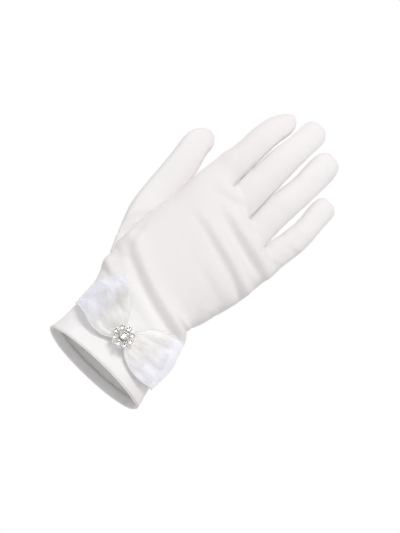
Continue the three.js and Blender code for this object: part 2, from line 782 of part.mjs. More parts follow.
// The cast flower: a boss and disc, with a cup for each stone, its seat cut out and claws round it.
function settingGeometry() {
  const cups = [{ kind: CENTRE, place: new THREE.Vector2(), turn: 0 }];
  for (let k = 0; k < FLOWER.petals; k += 1) {
    const place = petalPlace(k);
    cups.push({ kind: PETAL, place, turn: place.angle() });
  }
  let setting = solidOf(post(BOSS)).add(solidOf(post(DISC)));
  cups.forEach(({ kind, place }) => {
    const cup = { radius: kind.cup / 2, base: kind.base, height: kind.height, sides: CUP_SIDES };
    setting = setting.add(solidOf(post(cup, place.x, place.y)));
  });
  cups.forEach(({ kind, place, turn }) => {
    const orbit = kind.stone / 2 + SEAT_CLEARANCE + CLAW.radius;
    for (let k = 0; k < kind.claws; k += 1) {
      const angle = turn + (2 * Math.PI * (k + 0.5)) / kind.claws;
      const claw = { ...CLAW, base: kind.base, height: kind.height + CLAW.rise };
      const x = place.x + orbit * Math.cos(angle);
      const y = place.y + orbit * Math.sin(angle);
      setting = setting.add(solidOf(post(claw, x, y)));
    }
  });
  cups.forEach(({ kind, place }) => {
    const seat = stoneGeometry(kind.stone + 2 * SEAT_CLEARANCE, kind.height);
    setting = setting.subtract(solidOf(seat.translate(place.x, place.y, seatHeight(kind))));
  });
  return geometryOf(setting);
}

// Adds one named piece with its finish.
function addNode(parent, name, geometry, finish) {
  const mesh = new THREE.Mesh(geometry, new THREE.MeshStandardMaterial(finish));
  mesh.name = name;
  parent.add(mesh);
  return mesh;
}

// Adds the setting and its stones, standing on the knot.
function addFlower(parent) {
  const flower = new THREE.Group();
  flower.position.copy(overCuff(0, FLOWER.z, FLOWER.lift));
  flower.rotation.x = THREE.MathUtils.degToRad(90 - FLOWER.lean);
  addNode(flower, "brooch_setting", settingGeometry(), SILVER);
  addNode(flower, "centre_stone", stoneGeometry(CENTRE.stone), CRYSTAL).position.z = seatHeight(CENTRE);
  for (let k = 0; k < FLOWER.petals; k += 1) {
    const stone = addNode(flower, `outer_stone_${k + 1}`, stoneGeometry(PETAL.stone), CRYSTAL);
    const { x, y } = petalPlace(k);
    stone.position.set(x, y, seatHeight(PETAL));
  }
  parent.add(flower);
}

const glove = new THREE.Group();
const surface = gloveSurface();
["back_panel", "palm_panel", "thumb"].forEach((name) => {
  addNode(glove, name, wallOf(surface, (face) => face.piece === name, 0, SATIN_WALL), SATIN);
});
const hemDepth = SATIN_WALL + SEAM_GAP;
const inHem = (face) => face.corners.every((k) => surface.points[k].z < HEM_DEPTH);
addNode(glove, "cuff_hem", wallOf(surface, inHem, hemDepth, hemDepth + HEM_WALL), SATIN);
addNode(glove, "bow_loop_left", sheetOf(loopGrid(BOW.left), RIBBON_WALL, false), ORGANZA);
addNode(glove, "bow_loop_right", sheetOf(loopGrid(BOW.right), RIBBON_WALL, false), ORGANZA);
addNode(glove, "bow_knot", sheetOf(knotGrid(), RIBBON_WALL, true), ORGANZA);
addFlower(glove);

export default glove;
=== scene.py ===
"""A white satin dress glove in its worn form, with a sheer ribbon bow and a flower of clear stones.

The form is worked out from the same sizes as the solid part: one cage of four-sided faces for the whole
glove, smoothed, pressed in along its folds and divided at the seams. Lengths are millimetres until a mesh is
made, and metres in the scene. +Z runs to the fingertips, the back faces -Y and the thumb is at -X.
"""
import logging
import math
from abc import ABC, abstractmethod
from dataclasses import dataclass, field, replace
from enum import Enum
from typing import Callable, ClassVar, Iterable, Sequence

import bmesh
import bpy
import numpy as np
from mathutils import Matrix, Vector, noise
from mathutils.kdtree import KDTree


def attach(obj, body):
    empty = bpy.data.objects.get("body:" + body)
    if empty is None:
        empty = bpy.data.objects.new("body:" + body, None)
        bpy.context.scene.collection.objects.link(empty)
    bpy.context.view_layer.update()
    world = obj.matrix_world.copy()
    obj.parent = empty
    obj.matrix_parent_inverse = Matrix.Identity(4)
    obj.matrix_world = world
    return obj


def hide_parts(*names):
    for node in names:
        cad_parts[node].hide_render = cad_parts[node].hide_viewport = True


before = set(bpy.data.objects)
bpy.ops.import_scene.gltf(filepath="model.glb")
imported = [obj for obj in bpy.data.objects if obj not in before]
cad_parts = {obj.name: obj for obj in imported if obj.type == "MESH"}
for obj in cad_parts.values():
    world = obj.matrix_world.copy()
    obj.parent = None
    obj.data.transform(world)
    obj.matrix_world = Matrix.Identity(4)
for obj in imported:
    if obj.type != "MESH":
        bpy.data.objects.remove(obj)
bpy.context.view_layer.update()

log = logging.getLogger("dress_glove")
Array = np.ndarray
Pair = tuple[float, float]
Triple = tuple[float, float, float]
Colour = Triple
Object = bpy.types.Object
Build = bmesh.types.BMesh
Socket = bpy.types.NodeSocket
Feed = float | Sequence[float] | Socket
Feeds = dict[str | int, Feed]
Sockets = dict[str, Socket]
MM = 0.001
BODY = "root"
CLOTH_MAP = "cloth"
SMOOTH_LEVELS = 3
FIT_ROUNDS = 5


class Side(Enum):
    """The two sides of the glove, with the sign of Y that each faces."""

    BACK = -1
    PALM = 1


class Cloth(Enum):
    """The satin pieces, numbered as they are marked on the cage."""

    BACK_PANEL = 0
    PALM_PANEL = 1
    THUMB = 2


@dataclass(frozen=True)
class Outline:
    """The glove's two edges at a height, and the depth at which they lie."""

    z: float
    left: float
    right: float
    edge: float


@dataclass(frozen=True)
class Profile:
    """The depth of the back and the palm at a height, and how square the section is."""

    z: float
    back: float
    palm: float
    square: float


@dataclass(frozen=True)
class Ring:
    """A section of a finger or the thumb; tilt lifts its side towards +X, in degrees."""

    x: float
    y: float
    z: float
    width: float
    depth: float = 0.0
    tilt: float = 0.0

    def middle(self) -> Array:
        """Returns the section's middle."""
        return np.array([self.x, self.y, self.z])


@dataclass(frozen=True)
class Touch:
    """The line on which two fingers press together, between two heights."""

    x: Triple
    z: Pair
    gap: float = 0.12
    near: float = 1.6


@dataclass(frozen=True)
class Pinch:
    """A short stretch of the outline that draws in, or stands out where draw is below 0."""

    toward: int
    z: float
    draw: float
    breadth: float


@dataclass(frozen=True)
class Swell:
    """A soft local swelling, or a hollow where its height is below 0."""

    x: float
    z: float
    height: float
    wide: float
    tall: float

    def at(self, x: Array, z: Array) -> Array:
        """Returns how far the swelling stands out at each place."""
        return self.height * np.exp(-(((x - self.x) / self.wide) ** 2) - ((z - self.z) / self.tall) ** 2)


@dataclass(frozen=True)
class Lap:
    """A fold where the cloth steps out along a line, over a valley below it and under a crest above it.

    The line runs through three places, with the steepness of the step at each. low and high are the
    breadths of the valley and the crest; the crest is on the left of the line's direction.
    """

    side: Side
    x: Triple
    z: Triple
    steep: Triple
    low: float
    high: float

    def reach(self) -> float:
        """Returns how far from the line the fold can still be felt."""
        return LAP_REACH * max(self.low, self.high)

    def height(self, away: Array, t: Array) -> Array:
        """Returns the height at a signed distance from the place t on the line."""
        breadth = np.where(away > 0, self.high, self.low)
        return through(self.steep, t) * away * np.exp(-((away / breadth) ** 2) / 2)


@dataclass(frozen=True)
class Crease:
    """A valley through three places, with a depth at each; width is half its breadth.

    A negative depth makes a ridge. The cloth beside the valley rises by a share of its depth.
    """

    side: Side
    x: Triple
    z: Triple
    depth: Triple
    width: float
    lift: float = 0.45

    def reach(self) -> float:
        """Returns how far from the line the crease can still be felt."""
        return CREASE_REACH * self.width

    def height(self, away: Array, t: Array) -> Array:
        """Returns the height at a signed distance from the place t on the line."""
        u = np.abs(away) / self.width
        return -through(self.depth, t) * (bell(u) - self.lift * bell(u, CREASE_AWAY))


OUTLINE = tuple(Outline(*row) for row in (
    (0, -39, 39, -9), (4.2, -37.9, 38.1, -8.5), (12, -37.3, 36.2, -7.5), (22, -37, 35, -6),
    (33, -37.2, 34.8, -4.5), (44, -38.6, 34.3, -3), (53, -41, 31.8, -2), (59, -42.9, 26.9, -1.5),
    (67, -45.2, 30.1, -1), (79, -45.6, 33.4, 0), (91, -44.6, 37.2, 0), (103, -43.4, 40, 0),
    (116, -41.2, 41.5, -0.5), (129, -39.4, 43.6, -1), (144, -38.8, 45.8, -2), (158, -36.6, 47, -3),
))
PROFILE = tuple(Profile(*row) for row in (
    (0, -25.8, 27, 2.15), (12, -24.9, 25, 2.2), (24, -23.6, 22.4, 2.25), (36, -22, 20, 2.3),
    (48, -20.4, 18, 2.4), (60, -19.2, 17.5, 2.45), (80, -17.8, 17.5, 2.5), (100, -17.1, 15, 2.6),
    (118, -17, 13.5, 2.7), (132, -15.6, 11.5, 2.8), (148, -12.2, 6.6, 2.9),
))
# Height at the middle line, and the drop for each millimetre to the right.
SECTIONS = (
    (0, 0), (6, 0), (17, 0.02), (30, 0.1), (42.5, 0.2), (53, 0.26), (62, 0.28), (71, 0.28),
    (80, 0.28), (90, 0.28), (103, 0.28), (116, 0.29), (129, 0.3), (145.5, 0.33),
)
ACROSS = (-0.956, -0.72, -0.459, -0.198, 0.058, 0.297, 0.525, 0.774, 0.94)
FORKS = ((-15.3, -3, 154.5), (6.8, -3, 142.5), (26.5, -2.5, 133.5))
# Sections of the index, middle, ring and little fingers and of the thumb, and the tip that closes each.
*FINGERS, THUMB = ((tuple(Ring(*row) for row in rows), tip) for rows, tip in (
    (((-25.8, -2.8, 160.3, 22.6, 15.8, -17), (-24.9, -2.7, 169, 20, 16.4, -3), (-23.9, -2, 179, 18.6),
      (-23.2, 0, 193.5, 18.2), (-21.2, 2.5, 204.5, 16.8), (-18.7, 4.6, 213, 13.4)), (-17.6, 6, 220.6)),
    (((-4.05, -3, 151.4, 25.4, 18.6, -28), (-4.05, -2.9, 162, 22.3), (-3.6, -2, 176, 21.3),
      (-3, -0.4, 192, 20.2), (-1.5, 2, 208.5, 18), (-0.9, 5, 221.8, 16.6)), (-0.2, 6.6, 227.6)),
    (((16.7, -3, 141.2, 22, 17, -24.3), (16.6, -2.9, 153.5, 19.9), (17.1, -2, 169, 20.4),
      (18.8, -0.6, 183, 19), (19.2, 1.6, 198, 19.4), (19.4, 4.4, 212.2, 17)), (19.4, 5.8, 217.8)),
    (((35.3, -2.5, 135.8, 18.2, 15, -7), (35.9, -2.3, 143, 18.4, 15.4), (37.5, -2, 150.5, 17.6),
      (38.3, -1.8, 157, 17.6), (38.9, -0.6, 167, 16.4), (38.2, 1.6, 179, 16.2),
      (38.2, 3.8, 189.2, 14.6)), (38.4, 4.8, 193.6)),
    (((-46.9, 11.4, 100, 20.8, 21, 38), (-48.3, 13.8, 118, 22.2, 19.4, 14),
      (-49.5, 15, 141, 21.8, 17.6), (-51.8, 15.7, 156, 20, 16.4), (-52.6, 16.3, 164.5, 18.8, 14.8),
      (-51, 16.8, 170.6, 15.2, 12.4)),
     (-49.4, 17.4, 176.4)),
))
FINGER_DEPTH_SHARE = 0.87
THUMB_SECTIONS = (5, 9)
TOUCHES = (
    Touch((-15.5, -15.1, -14.6), (152, 176)),
    Touch((6.2, 6.9, 7.5), (140, 172)),
    Touch((25.9, 26.4, 27.3), (131, 144)),
)
PADS = tuple(Swell(*row) for row in (
    (-26, 84, 4, 15, 20), (22, 82, 2.5, 13, 24), (2, 100, -2, 14, 20), (4, 132, 1.6, 34, 9),
))
PINCHES = (Pinch(1, 59.8, 2.8, 1.9), Pinch(1, 53.8, -1.2, 3.2), Pinch(-1, 57, -1.6, 4.5))
PINCH_EDGE = (0.5, 0.95)
TOUCH_FACING = 0.15
MOUTH_ARCH = 1.6
MOUTH_ARCH_TOP = 16.0
MOUTH_ARCH_BACK = (2, 18)
MOUTH_EDGE = 1.0
LIMB_SQUARE = 2.25
THUMB_SQUARE = 3.0

LAPS = tuple(Lap(Side.BACK, *row) for row in (
    ((-40.5, -9, 22), (75.8, 59.8, 52.4), (0.7, 1.35, 1.25), 2.9, 4.6),
    ((-48, -41, -33), (72, 69.5, 64.5), (0.7, 0.95, 0.1), 4.6, 3.6),
    ((17, 22.5, 28.5), (61.8, 59.6, 56), (0.2, 1.5, 1.6), 1.2, 2.6),
    ((-9, 16, 40), (135.6, 127.2, 122.4), (0.35, 1.9, 0.8), 1.9, 3.8),
    ((-22, 6, 35), (121.4, 113.8, 104.6), (0.15, 0.86, 1.05), 2.5, 3.8),
    ((2, 18, 34), (98.5, 94, 90.5), (0.08, 0.26, 0.2), 3, 4.5),
    ((-26, -14, -2), (144, 144.4, 147.5), (0.12, 0.55, 0.15), 2, 3),
    ((-46, -39, -31), (60, 53.4, 49.6), (0.8, 1.1, 0.2), 1.3, 2.4),
    ((-20, -2, 14), (49, 45, 40), (0.05, 0.25, 0.1), 3, 4),
))
CREASES = tuple(Crease(side, *row) for side, rows in (
    (Side.BACK, (
        ((-42.6, -41.6, -39), (98, 89, 78), (0.3, 1.0, 0.8), 2.0),
        ((-43, -39, -35), (75, 73, 70.5), (0.8, 1.4, 0.4), 4.2),
        ((-46.4, -49, -52.6), (98.5, 94.5, 89), (0.2, 1.3, 0.4), 1.5, 0.2),
        ((-46.6, -48.6, -50.6), (92, 88, 83), (-0.1, -0.8, -0.3), 1.7, 0.2),
        ((23, 26, 29), (74, 72.5, 71), (0.2, 0.7, 0.3), 3),
        ((22, 23, 24), (198, 194, 190), (0.1, 0.5, 0.1), 3.6),
        ((10, 14, 18), (136, 137, 139), (0.1, 0.5, 0.1), 2.2),
        ((30, 36, 41), (100, 101, 103), (0.1, 0.2, 0.3), 2),
        ((29, 33, 37), (84, 85, 87), (0.1, 0.2, 0.3), 1.8),
        ((26, 30, 33), (76, 78, 80), (0.1, 0.2, 0.3), 1.6),
        ((36, 40, 44), (113, 114.5, 117), (0.1, 0.4, 0.4), 2),
        ((38, 42, 46), (134, 135, 137), (0.1, 0.35, 0.35), 1.8),
        ((40, 43, 46), (148, 149, 150), (0.1, 0.3, 0.3), 1.8),
        ((-34, -26, -18), (172, 170.5, 172), (0.1, 0.25, 0.1), 3),
        ((-12, -3, 5), (171, 169.5, 171), (0.1, 0.25, 0.1), 3),
        ((10, 18, 26), (163, 161.5, 163), (0.1, 0.3, 0.1), 3),
        ((31, 38, 46), (158, 157, 158), (0.1, 0.3, 0.1), 2.6),
        ((-30, -23, -16), (196, 195, 196), (0.1, 0.2, 0.1), 2.6),
        ((-11, -2, 6), (199, 198, 199), (0.1, 0.2, 0.1), 2.6),
    )),
    (Side.PALM, (
        ((-40, -4, 27), (70, 60, 58), (1.2, 2, 2), 4.4),
        ((-34, -4, 36), (116, 118, 128), (0.6, 1.2, 0.8), 4),
        ((-18, -26, -30), (108, 88, 66), (0.5, 1.1, 0.4), 3),
        ((-30, -10, 20), (112, 104, 108), (0.3, 0.8, 0.3), 3),
        ((-34, -25, -17), (158, 157, 158), (0.5, 0.9, 0.5), 2.6),
        ((-14, -4, 6), (153, 152, 152), (0.5, 0.9, 0.5), 2.6),
        ((8, 17, 26), (147, 146, 145), (0.5, 0.9, 0.5), 2.6),
        ((28, 37, 46), (140, 139, 139), (0.5, 0.8, 0.5), 2.4),
        ((-33, -24, -16), (182, 181, 182), (0.4, 0.8, 0.4), 2.6),
        ((-13, -3, 7), (180, 179, 180), (0.4, 0.8, 0.4), 2.6),
        ((9, 18, 27), (172, 171, 172), (0.4, 0.8, 0.4), 2.6),
        ((30, 38, 46), (163, 162, 162), (0.4, 0.7, 0.4), 2.4),
        ((-20, 4, 24), (50, 46, 47), (0.3, 0.9, 0.5), 4),
        ((-30, -12, 8), (36, 32, 30), (0.1, 0.5, 0.1), 5),
    )),
) for row in rows)
CREASE_AWAY = 2.0
FOLD_FADE = (-0.1, 0.5)
FOLD_STEPS = 64
FOLD_END = 5.0
LAP_REACH = 3.6
CREASE_REACH = 4.0


class SmoothColumn:
    """A smooth curve through one column of a table of rows."""

    def __init__(self, rows: Sequence[object], column: str, key: str = "z") -> None:
        """Reads the column.

        Args:
            rows: the table, in rising order of its key.
            column: the name of the column.
            key: the name of the column that gives the place.
        """
        self.keys = np.array([getattr(row, key) for row in rows], float)
        self.values = np.array([getattr(row, column) for row in rows], float)
        count = np.arange(len(rows))
        before, after = np.maximum(count - 1, 0), np.minimum(count + 1, len(rows) - 1)
        self.slopes = (self.values[after] - self.values[before]) / (self.keys[after] - self.keys[before])

    def __call__(self, place: Array | float) -> Array:
        """Returns the curve's value at each place."""
        place = np.asarray(place, float)
        row = np.clip(np.searchsorted(self.keys, place) - 1, 0, len(self.keys) - 2)
        start, span = self.keys[row], self.keys[row + 1] - self.keys[row]
        t = np.clip((place - start) / span, 0, 1)
        square, cube = t**2, t**3
        return (
            (2 * cube - 3 * square + 1) * self.values[row]
            + (cube - 2 * square + t) * span * self.slopes[row]
            + (3 * square - 2 * cube) * self.values[row + 1]
            + (cube - square) * span * self.slopes[row + 1]
        )


def smoothstep(value: Array, start: float, end: float) -> Array:
    """Returns 0 before start, 1 past end and a smooth rise between; end may be the lower one."""
    t = np.clip((value - start) / (end - start), 0, 1)
    return t * t * (3 - 2 * t)


def unit(vectors: Array) -> Array:
    """Returns vectors of the same directions and length 1."""
    return vectors / np.maximum(np.linalg.norm(vectors, axis=-1, keepdims=True), 1e-12)


def through(row: Sequence[float], t: Array) -> Array:
    """Returns a parabola through three values, at shares t from the first to the last."""
    start, middle, end = row
    control = 2 * middle - (start + end) / 2
    return (1 - t) ** 2 * start + 2 * t * (1 - t) * control + t * t * end


def grain(points: Array, scales: Sequence[float], seed: float) -> Array:
    """Returns smooth noise from -1 to 1 at points, of a size along each axis; the seed shifts it."""
    shifted = points / np.asarray(scales, float) + seed
    return np.array([noise.noise(Vector(place)) for place in shifted])


def bell(place: Array, middle: float = 0.0, breadth: float = 1.0) -> Array:
    """Returns a smooth hump: 1 at its middle, and nearly 0 past twice its breadth."""
    return np.exp(-(((place - middle) / breadth) ** 2))


def waves(turns: Array) -> Array:
    """Returns a wave from -1 to 1 that repeats with every whole turn."""
    return np.sin(2 * math.pi * turns)


def angles_round(count: int, start: float = 0.0) -> Array:
    """Returns the angles of even steps round a circle; start is in steps."""
    return 2 * math.pi * (np.arange(count) + start) / count


def polar(radius: float, angle: float, middle: Pair = (0.0, 0.0)) -> Pair:
    """Returns the place at a radius and an angle round a middle."""
    return middle[0] + radius * math.cos(angle), middle[1] + radius * math.sin(angle)


def squared_circle(angles: Array, square: float) -> list[Array]:
    """Returns both coordinates of points round a circle that a power above 2 squares off."""
    return [np.sign(f) * np.abs(f) ** (2 / square) for f in (np.cos(angles), np.sin(angles))]


def link_object(name: str, data: bpy.types.ID) -> Object:
    """Puts data in the scene as an object of that name and returns the object."""
    made = bpy.data.objects.new(name, data)
    bpy.context.scene.collection.objects.link(made)
    return made


def object_from(mesh: Build, name: str) -> Object:
    """Turns a mesh that was built up by faces into an object in the scene."""
    data = bpy.data.meshes.new(name)
    mesh.to_mesh(data)
    mesh.free()
    return link_object(name, data)


@dataclass
class Surface:
    """A mesh of four-sided faces in millimetres, with a number for each face's piece."""

    points: Array
    faces: Array
    pieces: Array

    def normals(self) -> Array:
        """Returns the direction in which the surface faces at each point."""
        corners = self.faces.T
        a, b, c, d = self.points[corners]
        total = np.zeros_like(self.points)
        np.add.at(total, corners, np.cross(c - a, d - b))
        return unit(total)


@dataclass
class GloveForm:
    """The glove's worn form: its sections, fingers and thumb, as one smooth surface."""

    left: SmoothColumn = SmoothColumn(OUTLINE, "left")
    right: SmoothColumn = SmoothColumn(OUTLINE, "right")
    edge: SmoothColumn = SmoothColumn(OUTLINE, "edge")
    back: SmoothColumn = SmoothColumn(PROFILE, "back")
    palm: SmoothColumn = SmoothColumn(PROFILE, "palm")
    square: SmoothColumn = SmoothColumn(PROFILE, "square")
    points: list[Array] = field(default_factory=list)
    faces: list[list[int]] = field(default_factory=list)
    pieces: list[int] = field(default_factory=list)

    def section_point(self, z: float, slope: float, share: float, side: Side) -> Array:
        """Returns a point of the palm's or the cuff's surface.

        Args:
            z: the section's height at the middle line.
            slope: the section's drop for each millimetre to the right.
            share: the place across, from -1 at the thumb side to 1.
            side: back or palm.
        """
        sides = []
        for column in (self.left, self.right):
            height = z
            for _ in range(FIT_ROUNDS):
                height = z - slope * float(column(height))
            sides.append(float(column(height)))
        x = sides[0] + (sides[1] - sides[0]) * (share + 1) / 2
        height = z - slope * x
        depth = self.back if side is Side.BACK else self.palm
        edge = float(self.edge(height))
        bulge = self.bulge(share, self.square(z))
        pads = sum(pad.at(x, height) for pad in PADS)
        swelling = pads * bulge if side is Side.PALM else 0
        return np.array([x, edge + (float(depth(z)) - edge) * bulge + swelling, height])

    @staticmethod
    def bulge(share: Array | float, square: Array | float) -> Array:
        """Returns how far a section stands out, from 1 in its middle to 0 at its sides."""
        return np.maximum(0, 1 - np.abs(share) ** square) ** (1 / square)

    def over_cuff(self, x: Array, z: Array, lift: Array) -> Array:
        """Returns points over the back of the cuff that stand off it by a lift."""
        left, right, edge = self.left(z), self.right(z), self.edge(z)
        share = np.clip((x - (left + right) / 2) / ((right - left) / 2 + lift), -1, 1)
        reach = edge - self.back(z) + lift
        return np.stack([x, edge - reach * self.bulge(share, self.square(z)), z], axis=-1)

    def add_ring(self, places: Iterable[Array]) -> list[int]:
        """Adds points to the cage and returns their numbers."""
        first = len(self.points)
        self.points.extend(np.asarray(place, float) for place in places)
        return list(range(first, len(self.points)))

    def add_band(self, lower: list[int], upper: list[int], piece_at: Callable[[int], int | None]) -> None:
        """Joins two rings with faces; piece_at gives each face's piece, or None to leave it out."""
        for k, start in enumerate(lower):
            follow = (k + 1) % len(lower)
            piece = piece_at(k)
            if piece is not None:
                self.faces.append([start, lower[follow], upper[follow], upper[k]])
                self.pieces.append(piece)

    def limb_ring(self, ring: Ring, ahead: Array, count: int, square: float) -> list[Array]:
        """Returns the points of a section across a limb that runs ahead."""
        along = unit(ahead)
        across = unit(np.cross((0.0, 1.0, 0.0), along))
        tilt = Matrix.Rotation(-math.radians(ring.tilt), 3, "Y")
        across = np.array(tilt @ Vector(across))
        deep = unit(np.cross(along, across))
        depth = ring.depth or ring.width * FINGER_DEPTH_SHARE
        rounded = squared_circle(math.pi + angles_round(count), square)
        middle = ring.middle()
        return [middle + across * ring.width / 2 * c + deep * depth / 2 * s for c, s in zip(*rounded)]

    def add_limb(self, base: list[int], rings: Sequence[Ring], tip: Sequence[float],
                 piece_at: Callable[[int], int], square: float = LIMB_SQUARE) -> None:
        """Adds a finger or the thumb on its base ring, up to its closed tip."""
        places = [ring.middle() for ring in rings] + [np.array(tip, float)]
        lower = base
        for k, ring in enumerate(rings):
            ahead = places[k + 1] - places[max(k - 1, 0)]
            upper = self.add_ring(self.limb_ring(ring, ahead, len(base), square))
            self.add_band(lower, upper, piece_at)
            lower = upper
        (end,) = self.add_ring([places[-1]])
        for k in range(0, len(lower), 2):
            self.faces.append([end, lower[k], lower[k + 1], lower[(k + 2) % len(lower)]])
            self.pieces.append(piece_at(k))

    def build_cage(self) -> None:
        """Lays out the palm's rings, the four fingers and the thumb in its opening."""
        columns = len(ACROSS)
        far, count = columns + 1, 2 * columns + 2
        back, palm, thumb = (cloth.value for cloth in Cloth)
        rings = [
            self.add_ring(
                [self.section_point(z, slope, share, Side.BACK) for share in (-1, *ACROSS, 1)]
                + [self.section_point(z, slope, share, Side.PALM) for share in reversed(ACROSS)]
            )
            for z, slope in SECTIONS
        ]
        first, last = THUMB_SECTIONS
        for k, (lower, upper) in enumerate(zip(rings, rings[1:])):
            opens = count - 2 if first <= k < last else count
            self.add_band(lower, upper, lambda c, o=opens: None if c >= o else back if c < far else palm)

        knuckles = rings[-1]
        forks = self.add_ring(FORKS)
        for k, (finger, tip) in enumerate(FINGERS):
            start = count - 3 - 2 * k
            near = knuckles[0] if k == 0 else forks[k - 1]
            outer = knuckles[far] if k == len(FINGERS) - 1 else forks[k]
            base = [near, *knuckles[1 + 2 * k:4 + 2 * k], outer, *knuckles[start:start + 3]]
            self.add_limb(base, finger, tip, lambda c, half=len(base) // 2: back if c < half else palm)

        between = rings[first + 1:last]
        opening = [
            rings[first][-1], rings[first][0], *(ring[0] for ring in between), rings[last][0],
            rings[last][-1], rings[last][-2], *(ring[-2] for ring in reversed(between)), rings[first][-2],
        ]
        self.add_limb(opening, *THUMB, lambda c: thumb, THUMB_SQUARE)

    def fit(self) -> None:
        """Moves the cage's points until the smooth surface passes through where they stood.

        The shares of a point's neighbours are those by which smoothing moves it to its limit.
        """
        used, numbers = np.unique(self.faces, return_inverse=True)
        faces = numbers.reshape(-1, 4)
        self.faces = faces.tolist()
        goals = np.array(self.points)[used]
        own = np.eye(len(goals))
        near, across = np.zeros((2, *own.shape))
        np.add.at(near, (faces, np.roll(faces, 1, 1)), 1)
        np.add.at(across, (faces, np.roll(faces, 2, 1)), 1)
        near += near.T
        rim, valence = near == 1, (near > 0).sum(1, keepdims=True)
        smoothing = (4 * (near > 0) + across + own * valence**2) / (valence * (valence + 5))
        at_rim = rim.any(1)
        smoothing[at_rim] = (own * 4 / 6 + rim / 6)[at_rim]
        points = goals.copy()
        for _ in range(FIT_ROUNDS):
            points += goals - smoothing @ points
        self.points = list(points)

    def smooth_surface(self) -> Surface:
        """Returns the smooth surface of the whole glove."""
        self.build_cage()
        self.fit()
        mesh = bpy.data.meshes.new("cage")
        mesh.from_pydata([tuple(point) for point in self.points], [], self.faces)
        marks = mesh.attributes.new("piece", "INT", "FACE")
        marks.data.foreach_set("value", self.pieces)
        holder = link_object("cage", mesh)
        smoothing = holder.modifiers.new("smooth", "SUBSURF")
        smoothing.levels = smoothing.render_levels = SMOOTH_LEVELS
        fine = holder.evaluated_get(bpy.context.evaluated_depsgraph_get()).to_mesh()
        points = np.empty(len(fine.vertices) * 3)
        faces = np.empty(len(fine.loops), int)
        pieces = np.empty(len(fine.polygons), int)
        fine.vertices.foreach_get("co", points)
        fine.loops.foreach_get("vertex_index", faces)
        fine.attributes["piece"].data.foreach_get("value", pieces)
        bpy.data.objects.remove(holder)
        bpy.data.meshes.remove(mesh)
        return Surface(points.reshape(-1, 3), faces.reshape(-1, 4), pieces)


def make_object(name: str, points: Array, faces: Iterable[Sequence[int]], uvs: Array | None = None) -> Object:
    """Makes a smooth-shaded object in the scene.

    Args:
        name: the object's name.
        points: its points in millimetres.
        faces: the numbers of the points of each face.
        uvs: a place on the cloth for each point, in millimetres, or None.

    Returns:
        The object.
    """
    mesh = bpy.data.meshes.new(name)
    mesh.from_pydata((np.asarray(points) * MM).tolist(), [], [list(map(int, face)) for face in faces])
    mesh.shade_smooth()
    if uvs is not None:
        corners = np.empty(len(mesh.loops), int)
        mesh.loops.foreach_get("vertex_index", corners)
        layer = mesh.uv_layers.new(name=CLOTH_MAP)
        layer.data.foreach_set("uv", (np.asarray(uvs)[corners] * MM).ravel())
    mesh.validate()
    return link_object(name, mesh)


def grid_faces(lines: int, across: int, ring_lines: bool, ring_across: bool) -> Array:
    """Returns the faces of a grid of points, joined to itself along one way or both.

    Args:
        lines: how many lines of points there are.
        across: how many points a line has.
        ring_lines: whether the last line joins the first.
        ring_across: whether the last point of a line joins its first.
    """
    line = np.arange(lines if ring_lines else lines - 1)[:, None]
    k = np.arange(across if ring_across else across - 1)[None, :]
    after, beside = (line + 1) % lines, (k + 1) % across
    quads = [line * across + k, after * across + k, after * across + beside, line * across + beside]
    return np.stack(quads, axis=-1).reshape(-1, 4)


def open_edges(faces: Array) -> list[tuple[int, int]]:
    """Returns the edges that only one face uses, each in that face's direction."""
    edges = {(int(face[k]), int(face[(k + 1) % 4])) for face in faces for k in range(4)}
    return [edge for edge in edges if (edge[1], edge[0]) not in edges]


